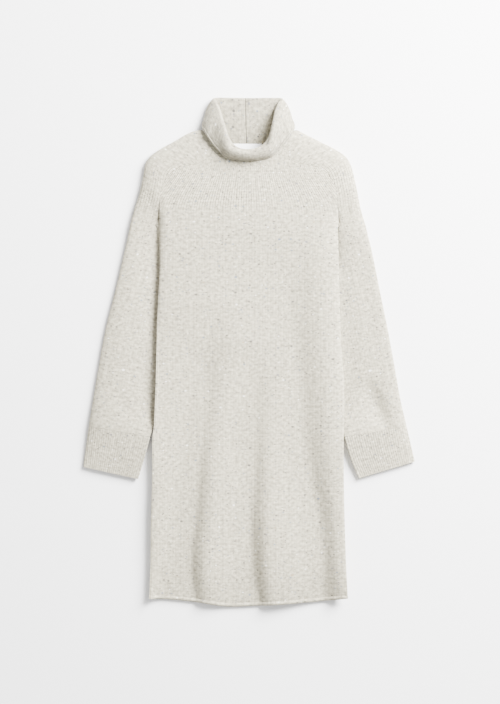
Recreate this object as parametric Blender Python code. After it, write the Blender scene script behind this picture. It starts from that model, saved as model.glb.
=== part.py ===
"""A knitted turtleneck sweater dress, laid flat on its back with its sleeves down beside the body.

Sizes and tables are in millimetres, and a mesh turns them into metres. X runs across the dress,
Y from the hem to the neck and Z up from the surface that it lies on. Left and right are as seen
when one looks at the front. Every piece of cloth is a wall, an outer sheet of points and an inner
one, closed by a rim along each edge.
"""

import math

import bpy
import numpy as np

MM = 0.001
MIDDLE = (0.5, 0.68, 0)  # the middle of the whole dress in the tables below, moved to the origin

# The cloth and its seams
WALL = 2.5
SEAM_GAP = 0.3
SIDES = (("left", -1), ("right", 1))

# Body: heights of the outer surface over the floor, and how far the sides round away
ARMPIT_Y = 237
ARMPIT_Z = 9
SIDE_SEAM_Z = 14
SIDE_SEAM_RISE = 60  # the side seam gains its height over this far below the armpit
CREASE_TOP_Y = 285  # the crease between body and sleeve fades out here
FRONT_ROUNDING = 42
BACK_ROUNDING = 28
BACK_POWER = 1.8  # how steeply the back rises to its side seams
CROWN_DROP = 2.2  # how much lower the front lies at its sides than along its middle

BODY_SIDES = (  # y, left x, right x
    (-461, -187, 187.5),
    (-394, -190, 185),
    (-318, -189, 183),
    (-242, -187, 180),
    (-166, -183, 177),
    (-90, -179, 176),
    (62, -176, 175),
    (214, -173.5, 173),
    (ARMPIT_Y, -172.5, 171.5),
)
HEM = (  # x, y
    (-187, -467),
    (-159, -468),
    (-98, -474),
    (-32, -482.5),
    (16, -480.5),
    (78, -477),
    (135, -472),
    (187.5, -466),
)
HEM_ROLL = (  # distance from the edge, height raised: a soft bead and the groove above it
    (0, -0.8),
    (2.2, 0.9),
    (4.6, 0.8),
    (6.6, -0.5),
    (10, 0),
)
LOFT = (  # y, height of the front along its middle
    (-480, 23),
    (-300, 23),
    (0, 22),
    (237, 21),
    (330, 20.5),
    (385, 19),
)
FOLDS = {  # each a trough down the front: y, x, depth, half width
    "middle left": (
        (-480, -101, 11, 21),
        (-394, -100, 10.5, 21),
        (-318, -93, 8.5, 22),
        (-242, -87, 7, 23),
        (-166, -81, 5, 24),
        (-90, -70, 3.4, 26),
        (-14, -58, 2, 28),
        (90, -40, 0, 30),
    ),
    "middle right": (
        (-480, 21, 9.5, 21),
        (-394, 16, 9, 21),
        (-318, 14, 7, 22),
        (-242, 16, 5.4, 23),
        (-166, 14, 4.2, 25),
        (-90, 18, 2.6, 27),
        (20, 22, 0, 30),
    ),
    "right": (
        (-480, 160, 3.2, 17),
        (-394, 158, 3.6, 18),
        (-318, 152, 4, 20),
        (-242, 139, 4.2, 23),
        (-166, 130, 4, 26),
        (-90, 125, 3.6, 28),
        (62, 112, 2.4, 30),
        (230, 95, 0, 30),
    ),
    "left edge": (
        (-480, -168, 2.4, 14),
        (-318, -166, 2.6, 16),
        (-166, -160, 1.6, 20),
        (0, -155, 0, 24),
    ),
}

# Raglan seams, as x outward from the middle and y, from the neck to the armpit
NECK_FRONT_Y = 371
NECK_POWER = 2.4  # the neckline's curve: 2 is a parabola, and more is flatter in its middle
RAGLAN_FRONT = (
    (59, 402),
    (63.5, 392.5),
    (68, 383),
    (76, 371),
    (91, 360),
    (123, 353),
    (137, 348),
    (149, 338),
    (158, 327),
    (164, 315),
    (167.5, 295),
    (169.5, 267),
    (172, ARMPIT_Y),
)
NECK_BACK_Y = 397
RAGLAN_BACK = (
    (60, 408),
    (84, 389),
    (104, 369),
    (125, 346),
    (142, 322),
    (155, 296),
    (165, 268),
    (172, ARMPIT_Y),
)
SHOULDER_LEFT = (  # the sleeve's outer fold, x outward and y, from the neck to the armpit's level
    (79, 417),
    (91, 422),
    (104, 420),
    (144, 399),
    (174, 382),
    (189, 370),
    (197, 355),
    (202, 328),
    (209, 300),
    (219, 270),
    (227, 240),
)
SHOULDER_RIGHT = (
    (79, 418),
    (90, 422),
    (104, 415.5),
    (139, 398),
    (169, 382.5),
    (186, 369),
    (195, 352),
    (201, 328),
    (207, 300),
    (213, 270),
    (222, 240),
)
SHOULDER_Z = 7  # height of the sleeve's outer fold at the shoulder
SHOULDER_TURN = 0.47  # share of that fold where the sleeve turns down from the shoulder
SLEEVE_TOP_Z = 15.5
SLEEVE_REACH = 14  # the underside reaches the floor this far in from the fold
CLOSING_ROWS = 4  # over this many sections the open shoulder turns into a tube
CLOSING = 0.9  # and gets this much of a tube's shape before the armpit
SHOULDER_POWER = 2.6  # roundness over the top of the shoulder, where 2 is an ellipse
TUBE_POWER = 2.4  # and of the sleeve and the cuff
FRONT_CORNER = 0.5  # share of the raglan seam where the yoke's top turns down to its side
BACK_CORNER = 0.62

# Sleeves below the armpit: a row for each section
SLEEVE = (  # left outer x, y, left inner x, y, right outer x, y, right inner x, y, inner z, top
    (-227, 240, -172.5, 237, 222, 240, 171.5, 237, 9, 15.5),
    (-232, 217, -173.5, 211, 227.5, 217, 172.5, 211, 6.5, 15),
    (-237, 195, -170, 187, 233, 195, 169, 187, 4.6, 14.5),
    (-255, 119, -168, 107, 249, 119, 166.5, 107, 3.8, 14),
    (-274, 43, -167.5, 28, 264.5, 43, 166.5, 28, 3.8, 14),
    (-288, -33, -169, -52, 279, -33, 168, -52, 3.8, 14.5),
    (-298, -92, -173, -112, 289.5, -92, 172, -112, 3.8, 14.5),
    (-305, -139, -183, -160, 300, -139, 181.5, -160, 4, 13.5),
)
SLEEVE_EDGE_Z = 5.5
EDGE_SETTLING = 3  # rows over which the outer fold settles to that height below the armpit
CUFF = (  # left outer x, y, left inner x, y, right outer x, y, right inner x, y
    (-304.8, -139.2, -183.2, -160.2, 299.8, -139.2, 181.7, -160.2),
    (-309.5, -178, -194, -202, 307.5, -173, 194, -199),
    (-314, -217, -210, -240, 315, -207, 209, -238.5),
)
CUFF_TOP_Z = 13
CUFF_EDGE_Z = 5
CUFF_INNER_Z = 4
CUFF_REACH = 9
CUFF_RIBS = 34
RIB_WAVE = (1, 1, 0)  # two high columns and a low one make each rib
RIB_HEIGHT = 1.0
RIB_FADE = (0.5, 3)  # the ribs fade out between these heights, flat against the floor

# Collar: a tube that stands up from the neckline and falls outwards, one row for each section.
# Column counts run from the left front raglan seam across the front and round the neck.
COLLAR = (  # column, rim x, y, z, edge x, y, z, outward x, y, z, radius of the fold
    (0, -49, 426, 37, -61, 386, 21, -0.9, -0.4, 0, 4.4),
    (4, -37, 386, 39, -39, 368, 21.5, -0.5, -0.85, 0, 4.8),
    (8, -1.5, 374.5, 39, -1.5, 364, 22, 0, -1, 0, 5),
    (12, 38, 389, 39, 41, 371, 21.5, 0.5, -0.85, 0, 4.8),
    (16, 47.5, 424, 37, 61, 390, 21, 0.9, -0.4, 0, 4.4),
    (20, 52, 446, 29, 76, 407, 20.3, 0.99, 0, -0.1, 3.9),
    (22, 54, 457, 24.5, 81.5, 416.5, 18.2, 0.97, 0, -0.2, 3.6),
    (24, 57, 465, 20, 86, 426, 11, 0.95, 0, -0.3, 3.4),
    (26, 60, 471.5, 16.5, 85, 433, 7.5, 0.93, 0, -0.35, 3.3),
    (28, 63.5, 477.5, 12.5, 81, 437, 4.2, 0.85, 0, -0.5, 3.1),
    (30, 62, 481.5, 8, 74, 438, 2.1, 0.5, 0, -0.85, 3),
    (32, 51, 482.3, 5.4, 61, 438, 1.25, 0, 0, -1, 3),
    (35, -2, 482, 4.8, -2, 437, 1.25, 0, 0, -1, 3),
    (38, -55, 482.6, 5.4, -63, 438, 1.25, 0, 0, -1, 3),
    (40, -66, 481.5, 8, -76, 438, 2.1, -0.5, 0, -0.85, 3),
    (42, -67.5, 477.5, 12.5, -83, 437, 4.2, -0.85, 0, -0.5, 3.1),
    (44, -64, 471.5, 16.5, -87, 433, 7.5, -0.93, 0, -0.35, 3.3),
    (46, -61, 465, 20, -87.5, 427, 11, -0.95, 0, -0.3, 3.4),
    (48, -58, 457, 24.5, -83, 417, 18.2, -0.97, 0, -0.2, 3.6),
    (50, -55, 446, 29, -78, 408, 20.3, -0.99, 0, -0.1, 3.9),
)
STAND_LEAVE = 9  # the stand leaves the neck seam level for about this far
STAND_LIFT = 2.5  # and bends away from the fall by this, inwards at the front
LOW_NECK = 6  # and upwards where the neck seam is lower than this
FOLD_PULL = 0.45  # both layers leave the fold straight for this share of their length
FOLD_DROP = 5  # but drop by this much at most on the way
ROLL_OVER = 0.3  # how soon the fall leaves the roll: 0 is at its top, and 1 half a turn round it
FALL_REACH = 14  # the fall keeps the direction in which it leaves the roll for this far at most
STAND_ROWS = 5
STAND_RELAXING = 4
FOLD_ROWS = 4
FALL_ROWS = 5
FALL_LIP = (  # distance from the fall's edge, height raised
    (6.5, -0.4),
    (4.4, 0.8),
    (2, 0.9),
    (0, -0.3),
)

# Label
LABEL_SIZE = (54, 22)
LABEL_X = -2.5
LABEL_DROP = 0.8  # how far its top lies below the neck seam
LABEL_WALL = 0.6

# How finely each sheet is divided
FRONT_COLUMNS = 36
BACK_COLUMNS = 16
NECK_COLUMNS = 16  # of the front's columns, those that end on the neckline
BACK_NECK_COLUMNS = 6
YOKE_ROWS = 6
YOKE_RELAXING = 25
SIDE_CROWDING = 0.58  # how much closer the body's columns lie at its sides
BODY_ROWS = 17
SLEEVE_COLUMNS = 8  # over the top, and as many again underneath
SLEEVE_ROWS = 11
CURVE_STEPS = 40  # fine steps along a collar's layer, from which its rows are picked
SECTION_STEPS = 400  # and round a cuff's section
SHARP_ANGLE = 50

SHOULDER_ROWS = (FRONT_COLUMNS - NECK_COLUMNS) // 2
RAGLAN_ROWS = SHOULDER_ROWS + YOKE_ROWS

COLOURS = {  # base colour of each kind of piece
    "wool": (0.70, 0.68, 0.62, 1),
    "rib": (0.69, 0.67, 0.61, 1),
    "label": (0.85, 0.85, 0.83, 1),
}
ROUGHNESS = 0.95


def smooth(table, at):
    """Reads a table of rows (key, values...) along smooth curves that never overshoot a row."""
    rows = np.array(table, float)
    keys, values = rows[:, 0], rows[:, 1:]
    rises = np.diff(values, axis=0) / np.diff(keys)[:, None]
    slopes = np.concatenate([rises[:1], np.zeros_like(values[1:-1]), rises[-1:]])
    same_way = rises[:-1] * rises[1:] > 0
    gaps = np.diff(keys)[:, None]
    before, after = gaps[:-1] + 2 * gaps[1:], 2 * gaps[:-1] + gaps[1:]
    safe = np.where(same_way, rises[:-1], 1), np.where(same_way, rises[1:], 1)
    mean = (before + after) / (after / safe[0] + before / safe[1])
    slopes[1:-1] = np.where(same_way, mean, 0)
    at = np.clip(np.atleast_1d(np.asarray(at, float)), keys[0], keys[-1])
    first = np.clip(np.searchsorted(keys, at, side="right") - 1, 0, len(keys) - 2)
    step = (keys[first + 1] - keys[first])[:, None]
    t = (at - keys[first])[:, None] / step
    return (
        values[first] * (1 + 2 * t) * (1 - t) ** 2
        + values[first + 1] * t**2 * (3 - 2 * t)
        + slopes[first] * step * t * (1 - t) ** 2
        - slopes[first + 1] * step * t**2 * (1 - t)
    )


def along(points, shares):
    """Points at the given shares of the length of a smooth curve through the given points."""
    points = np.array(points, float)
    steps = np.concatenate([[0], np.cumsum(np.linalg.norm(np.diff(points, axis=0), axis=1))])
    return smooth(np.column_stack([steps / steps[-1], points]), shares)


def ease(t):
    """A soft step from 0 to 1."""
    t = np.clip(t, 0, 1)
    return t * t * (3 - 2 * t)


def unit(vectors):
    return vectors / np.linalg.norm(vectors, axis=-1, keepdims=True)


def side_x(y):
    """The body's left and right edges at y, straight up above the armpit."""
    return smooth(BODY_SIDES, y).T


def crease(y):
    """1 below the armpit, where body and sleeve are parted, to 0 on the yoke."""
    return 1 - ease((np.asarray(y, float) - ARMPIT_Y) / (CREASE_TOP_Y - ARMPIT_Y))


def seam_z(y):
    """Height of the side seam, which is lowest at the armpit."""
    below = ease((ARMPIT_Y - np.asarray(y, float)) / SIDE_SEAM_RISE)
    return ARMPIT_Z + (SIDE_SEAM_Z - ARMPIT_Z) * below


def edge_distance(x, y):
    """How far a point of the body lies in from the nearer side."""
    left, right = side_x(y)
    return np.clip(np.minimum(x - left, right - x), 0, None)


def front_z(x, y):
    """Height of the front's outer surface: its loft, rounded down at the sides, less its folds."""
    x = np.atleast_1d(np.asarray(x, float))
    y = np.atleast_1d(np.asarray(y, float))
    loft = smooth(LOFT, y)[:, 0] - CROWN_DROP * (x / 180) ** 2
    for rows in FOLDS.values():
        place, depth, width = smooth(rows, y).T
        loft = loft - np.maximum(depth, 0) * np.exp(-(((x - place) / width) ** 2))
    inward = np.clip(edge_distance(x, y) / FRONT_ROUNDING, 0, 1)
    rounded = np.sqrt(1 - (1 - inward) ** 2)
    return loft - (loft - seam_z(y)) * crease(y) * (1 - rounded)


def back_z(x, y):
    """Height of the back's outer surface: on the floor, and up to the seams at its sides."""
    near = np.clip(1 - edge_distance(x, y) / BACK_ROUNDING, 0, 1)
    return seam_z(y) * crease(y) ** 2 * near**BACK_POWER


def seam_shift(points, inward, toward):
    """Half the seam's gap, square to the seam in the cloth, to the side that toward points to."""
    run = np.gradient(points, axis=0)
    across = unit(np.cross(run, inward))
    sign = np.sign(np.sum(across * toward, axis=1, keepdims=True))
    return across * sign * SEAM_GAP / 2


def grid_faces(number, flip=False):
    """Quads between the rows and columns of a table of point numbers."""
    faces = np.stack([number[:-1, :-1], number[:-1, 1:], number[1:, 1:], number[1:, :-1]], axis=-1)
    faces = faces.reshape(-1, 4)
    return faces[:, ::-1] if flip else faces


def vertex_normals(points, faces):
    corners = points[faces]
    square = np.cross(corners[:, 2] - corners[:, 0], corners[:, 3] - corners[:, 1])
    normals = np.zeros_like(points)
    for corner in range(4):
        np.add.at(normals, faces[:, corner], square)
    return unit(normals)


def material(name, colour):
    made = bpy.data.materials.new(name)
    made.use_nodes = True
    shader = made.node_tree.nodes["Principled BSDF"]
    shader.inputs["Base Color"].default_value = colour
    shader.inputs["Roughness"].default_value = ROUGHNESS
    shader.inputs["Metallic"].default_value = 0
    return made


def wall(name, outer, inner, faces, kind):
    """One closed piece of cloth: the outer sheet, the inner sheet, and rims along their edges."""
    count = len(outer)
    edges = {}
    for face in faces.tolist():
        for a, b in zip(face, face[1:] + face[:1]):
            edges[(a, b)] = edges.get((a, b), 0) + 1
    rims = [(b, a, a + count, b + count) for a, b in edges if (b, a) not in edges]
    linings = [tuple(number + count for number in reversed(face)) for face in faces.tolist()]
    used = np.unique(faces)
    number = np.full(2 * count, -1)
    number[np.concatenate([used, used + count])] = np.arange(2 * len(used))
    points = (np.concatenate([outer[used], inner[used]]) - MIDDLE) * MM
    polygons = [[int(number[n]) for n in face] for face in faces.tolist() + linings + rims]
    mesh = bpy.data.meshes.new(name)
    mesh.from_pydata(points.tolist(), [], polygons)
    mesh.validate()
    mesh.shade_smooth()
    mesh.set_sharp_from_angle(angle=math.radians(SHARP_ANGLE))
    mesh.materials.append(material(name + "_" + kind, COLOURS[kind]))
    bpy.context.scene.collection.objects.link(bpy.data.objects.new(name, mesh))


def stations(turn):
    """Shares of a seam's length where its rows end: over the shoulder, then down to the armpit."""
    over = np.linspace(0, turn, SHOULDER_ROWS + 1)
    down = np.linspace(turn, 1, YOKE_ROWS + 1)
    return np.concatenate([over, down[1:]])


def raglan(table, side, corner_share):
    """A raglan seam's stations, from the neck to the armpit, x and y."""
    points = along(table, stations(corner_share)) * (side, 1)
    points[-1, 0] = side_x(ARMPIT_Y)[0 if side < 0 else 1][0]
    return points


def body_spread(columns):
    """Shares across the body from -1 to 1, closer together at the sides."""
    even = np.linspace(-1, 1, columns + 1)
    return even + SIDE_CROWDING * (np.sin(even * math.pi / 2) - even)


def panel(columns, neck_columns, table, corner_share, neck_y):
    """The flat plan of a body panel: rows of x and y from the hem to the neck."""
    spread = body_spread(columns)
    left, right = side_x(ARMPIT_Y)
    armpit_row = np.column_stack(
        [left + (right - left) * (spread + 1) / 2, np.full(columns + 1, float(ARMPIT_Y))]
    )
    rows = []
    drops = [row[0] for row in HEM_ROLL]
    shares = np.linspace(0, 1, BODY_ROWS + 1)[1:]
    for step in range(len(drops) + BODY_ROWS):
        x = left + (right - left) * (spread + 1) / 2
        for _ in range(3):  # the sides lean, so x and y settle together
            hem = smooth(HEM, x)[:, 0]
            if step < len(drops):
                y = hem + drops[step]
            else:
                start = hem + drops[-1]
                y = start + (ARMPIT_Y - start) * shares[step - len(drops)]
            lefts, rights = side_x(y)
            x = lefts + (rights - lefts) * (spread + 1) / 2
        rows.append(np.column_stack([x, y]))
    seams = {side: raglan(table, side, corner_share) for _, side in SIDES}
    thin = 2 * SHOULDER_ROWS // (columns - neck_columns)
    tops = {side: seams[side][: SHOULDER_ROWS + 1 : thin] for _, side in SIDES}
    t = np.linspace(-1, 1, neck_columns + 1)
    neck_left, neck_right = tops[-1][0], tops[1][0]
    neck = np.column_stack(
        [
            neck_left[0] + (neck_right[0] - neck_left[0]) * (t + 1) / 2,
            neck_y + (neck_left[1] - neck_y) * np.abs(t) ** NECK_POWER,
        ]
    )
    top = np.concatenate([tops[-1][::-1], neck[1:-1], tops[1]])
    lefts = seams[-1][SHOULDER_ROWS:][::-1]
    rights = seams[1][SHOULDER_ROWS:][::-1]
    across = np.linspace(0, 1, columns + 1)[:, None]
    yoke = [armpit_row]
    for row in range(1, YOKE_ROWS + 1):
        up = row / YOKE_ROWS
        blend = (
            (1 - up) * armpit_row
            + up * top
            + (1 - across) * (lefts[row] - (1 - up) * lefts[0] - up * lefts[-1])
            + across * (rights[row] - (1 - up) * rights[0] - up * rights[-1])
        )
        yoke.append(blend)
    yoke = np.array(yoke)
    for _ in range(YOKE_RELAXING):  # spaces the rows evenly round the neck's corners
        yoke[1:-1, 1:-1] = (
            yoke[:-2, 1:-1] + yoke[2:, 1:-1] + yoke[1:-1, :-2] + yoke[1:-1, 2:]
        ) / 4
    return np.array(rows + list(yoke[1:]))


def panel_edges(rows, columns, neck_columns):
    """Which points of a panel lie on each seam: side, raglan and neck, as (row, column) lists."""
    last, armpit = rows - 1, rows - 1 - YOKE_ROWS
    shoulder = (columns - neck_columns) // 2
    found = {"neck": [(last, column) for column in range(shoulder, columns - shoulder + 1)]}
    for name, side in SIDES:
        edge = 0 if side < 0 else columns
        turn = 1 if side < 0 else -1
        found["side " + name] = [(row, edge) for row in range(armpit + 1)]
        up = [(row, edge) for row in range(armpit, last)]
        over = [(last, edge + turn * step) for step in range(shoulder + 1)]
        found["raglan " + name] = up + over
    return found


def body_panel(name, up, columns, neck_columns, table, corner_share, neck_y, height):
    """Front (up 1) or back (up -1): plan, heights, inner sheet and the gaps at its seams."""
    plan = panel(columns, neck_columns, table, corner_share, neck_y)
    rows = len(plan)
    x, y = plan[..., 0].ravel(), plan[..., 1].ravel()
    outer = np.column_stack([x, y, height(x, y)])
    number = np.arange(rows * (columns + 1)).reshape(rows, columns + 1)
    faces = grid_faces(number, flip=up < 0)
    normals = vertex_normals(outer, faces)
    inward = -normals
    edges = panel_edges(rows, columns, neck_columns)
    shift = np.zeros_like(outer)
    flat = {key: np.array([number[place] for place in places]) for key, places in edges.items()}
    for key, numbers in flat.items():
        if not key.startswith("side"):
            inward[numbers] = (0, 0, -up)
    for side_name, side in SIDES:
        inward[flat["side " + side_name]] = (-side, 0, 0)
    middle = outer[number[rows // 2, columns // 2]]
    for key, numbers in flat.items():
        points = outer[numbers]
        if key.startswith("side"):
            shift[numbers] += (0, 0, up * SEAM_GAP / 2)
        else:
            square = np.tile((0.0, 0.0, -up), (len(numbers), 1))
            shift[numbers] += seam_shift(points, square, middle - points)
    outer = outer + shift
    inner = outer + inward * WALL
    for row, (_, height_raised) in enumerate(HEM_ROLL):
        raised = normals[number[row]] * height_raised
        raised[[0, -1], 2] = 0
        if up > 0:
            outer[number[row]] += raised
        else:
            outer[number[row], :2] += raised[:, :2]
    wall(name, outer, inner, faces, "wool")
    return (outer - shift).reshape(rows, columns + 1, 3)


def section_top(x_share, start_z, end_z, top_z, tube):
    """Heights over the top of a sleeve section: an open shoulder (tube 0) or a tube (tube 1)."""
    open_shape = end_z + (start_z - end_z) * np.sqrt(1 - x_share**SHOULDER_POWER)
    ends = start_z + (end_z - start_z) * x_share
    arch = (1 - np.abs(2 * x_share - 1) ** TUBE_POWER) ** (1 / TUBE_POWER)
    closed_shape = ends + (top_z - ends) * arch
    return open_shape * (1 - tube) + closed_shape * tube


def section_under(distance, edge_z, reach):
    """Heights near one edge of the underside, which reaches the floor this far in."""
    t = np.clip(distance / reach, 0, 1)
    return edge_z * (1 - np.sqrt(1 - (1 - t) ** 2))


def tube_section(outer_xy, inner_xy, edge_z, inner_z, top_z, shares, reach):
    """A closed sleeve or cuff section, from its inner edge over the top and back underneath."""
    width = np.linalg.norm(outer_xy - inner_xy)
    over = section_top(shares, inner_z, edge_z, top_z, 1)
    back = shares[::-1][1:]
    under = section_under((1 - back) * width, edge_z, reach) + section_under(
        back * width, inner_z, reach
    )
    share = np.concatenate([shares, back])
    plan = inner_xy + (outer_xy - inner_xy) * share[:, None]
    return np.column_stack([plan, np.concatenate([over, under])])


def sleeve_sections(side, front_points, back_points):
    """All sections of a sleeve as rows of points, open along the raglan seams, then closed."""
    shares = (1 - np.cos(np.linspace(0, math.pi, SLEEVE_COLUMNS + 1))) / 2
    shoulder = SHOULDER_LEFT if side < 0 else SHOULDER_RIGHT
    folds = along(shoulder, stations(SHOULDER_TURN)) * (side, 1)
    table = np.array(SLEEVE, float)
    ends = table[:, 0:4] if side < 0 else table[:, 4:8]
    steps = np.linalg.norm(np.diff(ends[:, :2], axis=0), axis=1)
    lengths = np.concatenate([[0], np.cumsum(steps)])
    rows = np.column_stack([lengths / lengths[-1], ends, table[:, 8:]])
    below = smooth(rows, np.linspace(0, 1, SLEEVE_ROWS + 1))
    sections = []
    for station in range(RAGLAN_ROWS):
        start, end, under = front_points[station], folds[station], back_points[station]
        tube = ease((station - RAGLAN_ROWS + CLOSING_ROWS) / CLOSING_ROWS) * CLOSING
        top_z = max(start[2], SLEEVE_TOP_Z)
        over = section_top(shares, start[2], SHOULDER_Z, top_z, tube)
        top = np.column_stack([start[:2] + (end - start[:2]) * shares[:, None], over])
        back = shares[1:]
        run = np.linalg.norm(end - under[:2])
        plan = end + (under[:2] - end) * back[:, None]
        low = section_under(back * run, SHOULDER_Z, SLEEVE_REACH) + under[2] * back**3
        sections.append(np.concatenate([top, np.column_stack([plan, low])]))
    for step, row in enumerate(below):
        left_over = max(0, 1 - step / EDGE_SETTLING)
        edge_z = SLEEVE_EDGE_Z + (SHOULDER_Z - SLEEVE_EDGE_Z) * left_over
        section = tube_section(row[0:2], row[2:4], edge_z, row[4], row[5], shares, SLEEVE_REACH)
        sections.append(section)
    return np.array(sections)


def sleeve(name, side, front_points, back_points):
    """A raglan sleeve: open sections between the body's seams, then a tube down to the cuff."""
    sections = sleeve_sections(side, front_points, back_points)
    rows, columns = sections.shape[:2]
    number = np.arange(rows * columns).reshape(rows, columns)
    number[RAGLAN_ROWS:, -1] = number[RAGLAN_ROWS:, 0]
    outer = sections.reshape(-1, 3)
    faces = grid_faces(number, flip=side > 0)
    used = np.unique(faces)
    inward = np.zeros_like(outer)
    normals = vertex_normals_of_used(outer, faces, used)
    inward[used] = -normals[used]
    seam_rows = np.arange(RAGLAN_ROWS)
    inward[number[seam_rows, 0]] = (0, 0, -1)
    inward[number[seam_rows, -1]] = (0, 0, 1)
    armpit = number[RAGLAN_ROWS, 0]
    inward[armpit] = (side, 0, 0)
    neck = neck_inward(sections[0], side)
    inward[number[0]] = neck
    shift = np.zeros_like(outer)
    for column, facing in ((0, -1), (-1, 1)):
        numbers = number[: RAGLAN_ROWS + 1, column]
        points = outer[numbers]
        square = np.tile((0.0, 0.0, facing), (len(numbers), 1))
        moved = seam_shift(points, square, np.array((side, 0.35, 0)))
        shift[numbers[:-1]] += moved[:-1]
    shift[armpit] += (side * SEAM_GAP, 0, 0)
    shift[number[0]] += seam_shift(sections[0], neck, np.array((side * 0.3, -1, 0)))
    last = number[-1]
    heading = unit((sections[-2] - sections[-1]).mean(axis=0))
    shift[last] += heading * SEAM_GAP / 2
    outer = outer + shift
    inner = outer + inward * WALL
    wall(name, outer, inner, faces, "wool")
    return sections


def vertex_normals_of_used(points, faces, used):
    """Normals where some points of the table belong to no face."""
    number = np.full(len(points), -1)
    number[used] = np.arange(len(used))
    normals = np.zeros_like(points)
    normals[used] = vertex_normals(points[used], number[faces])
    return normals


def neck_inward(section, side):
    """Directions into the wall along a sleeve's neck edge: down, inward at its fold, then up."""
    middle = len(section) // 2
    angle = np.concatenate(
        [
            np.linspace(-math.pi / 2, 0, middle + 1),
            np.linspace(0, math.pi / 2, len(section) - middle)[1:],
        ]
    )
    level = np.array((-side * 0.94, -0.34, 0))
    return np.cos(angle)[:, None] * level + np.sin(angle)[:, None] * np.array((0, 0, 1.0))


def collar(neck, inward):
    """The turtleneck: up the stand, over the fold and down the fall, one closed tube."""
    columns = len(neck)
    table = np.array(COLLAR, float)
    closed_rim = np.concatenate([table, table[:1]])[:, 1:4]
    steps = np.linalg.norm(np.diff(closed_rim, axis=0), axis=1)
    length = steps.sum()
    at = np.concatenate([[0], np.cumsum(steps)])
    places = np.interp(np.arange(columns), np.append(table[:, 0], columns), at)
    table[:, 0] = at[:-1]
    turn = np.zeros(table.shape[1])
    turn[0] = length
    guide = smooth(np.concatenate([table - turn, table, table + turn]), places)
    rim, edge, outward, radius = guide[:, 0:3], guide[:, 3:6], unit(guide[:, 6:9]), guide[:, 9:10]
    loop = np.concatenate([neck[-1:], neck, neck[:1]])
    run = (loop[2:] - loop[:-2]) / 2
    away = unit(np.cross(run, inward))
    away *= np.sign(np.sum(away * (rim - neck), axis=1, keepdims=True))
    start = neck + inward * WALL / 2 + away * SEAM_GAP / 2
    along_rim = unit(np.roll(rim, -1, axis=0) - np.roll(rim, 1, axis=0))
    outward = unit(outward - along_rim * np.sum(outward * along_rim, axis=1, keepdims=True))
    up = np.cross(along_rim, outward)
    up *= np.sign(np.sum(up * (rim - (start + edge) / 2), axis=1, keepdims=True))
    centre = rim - up * radius
    stand_end = centre - outward * radius
    reach = np.linalg.norm(stand_end - start, axis=1, keepdims=True)
    low = ease((LOW_NECK - start[:, 2:3]) / LOW_NECK)
    lift = unit((0, 0, 1) * low - outward * (1 - low)) * STAND_LIFT
    leave = start + away * np.minimum(STAND_LEAVE, reach * 0.35) + lift
    steep = FOLD_DROP / np.maximum(np.abs(up[:, 2:3]), 0.01)
    pull = up * np.minimum(FOLD_PULL * reach, steep)
    stand = bezier(start, leave, stand_end - pull, stand_end)
    down = np.arctan2(-along_axis(edge - centre, up), along_axis(edge - centre, outward))
    down = np.clip(down / (math.pi / 2), 0, 1)  # 0 where the edge is level with the roll, 1 below
    last = math.pi / 2 * (1 + down * (ROLL_OVER + (1 - ROLL_OVER) * down**3))
    turns = np.linspace(0, 1, FOLD_ROWS + 1)[1:, None, None] * last
    fold = centre - outward * radius * np.cos(turns) + up * radius * np.sin(turns)
    heading = outward * np.sin(last) + up * np.cos(last)
    reach = np.linalg.norm(edge - fold[-1], axis=1, keepdims=True)
    held = np.minimum(FOLD_PULL * reach, FALL_REACH)
    fall = bezier(fold[-1], fold[-1] + heading * held, edge + up * np.minimum(held, steep), edge)
    stand_run, fall_run = curve_lengths(stand), curve_lengths(fall)
    layers = points_at(stand, np.linspace(0, 1, STAND_ROWS + 1)[:, None] * stand_run[-1])
    layers += list(fold)
    lip = np.array([row[0] for row in FALL_LIP])[:, None]
    shares = np.linspace(0, 1, FALL_ROWS + 1)[1:-1, None]
    layers += points_at(fall, shares * (fall_run[-1] - lip[0]))
    layers += points_at(fall, fall_run[-1] - lip)
    middle = np.array(layers)
    even_out(middle[1:STAND_ROWS])
    rows = len(middle)
    number = np.arange(rows * columns).reshape(rows, columns)
    ring = np.concatenate([number, number[:, :1]], axis=1)
    faces = grid_faces(ring)
    points = middle.reshape(-1, 3)
    normals = vertex_normals(points, faces)
    normals[number[0]] = -inward
    outer = points + normals * WALL / 2
    inner = points - normals * WALL / 2
    even_out(inner.reshape(rows, columns, 3)[1 : STAND_ROWS + 1])
    for lip, (_, raised) in enumerate(FALL_LIP):
        row = number[rows - len(FALL_LIP) + lip]
        clear = (inner[row, 2:3] > 3).astype(float)
        inner[row] -= normals[row] * raised * clear
    outer[:, 2] = np.maximum(outer[:, 2], 0)
    inner[:, 2] = np.maximum(inner[:, 2], 0)
    wall("collar", outer, inner, faces, "wool")


def along_axis(vectors, axes):
    """How far each vector runs along its own axis."""
    return np.sum(vectors * axes, axis=-1, keepdims=True)


def even_out(rings):
    """Opens out, in place, the points that bunch up at the corners of each ring."""
    for _ in range(STAND_RELAXING):
        rings[:] = (np.roll(rings, 1, axis=1) + 2 * rings + np.roll(rings, -1, axis=1)) / 4


def bezier(start, first, second, end):
    """Fine points along a cubic curve from each start to each end."""
    t = np.linspace(0, 1, CURVE_STEPS + 1)[:, None, None]
    return (
        start * (1 - t) ** 3
        + first * 3 * (1 - t) ** 2 * t
        + second * 3 * (1 - t) * t**2
        + end * t**3
    )


def curve_lengths(curves):
    """Length run at each point of a sheaf of curves."""
    steps = np.linalg.norm(np.diff(curves, axis=0), axis=2)
    return np.concatenate([np.zeros((1, steps.shape[1])), np.cumsum(steps, axis=0)])


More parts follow.
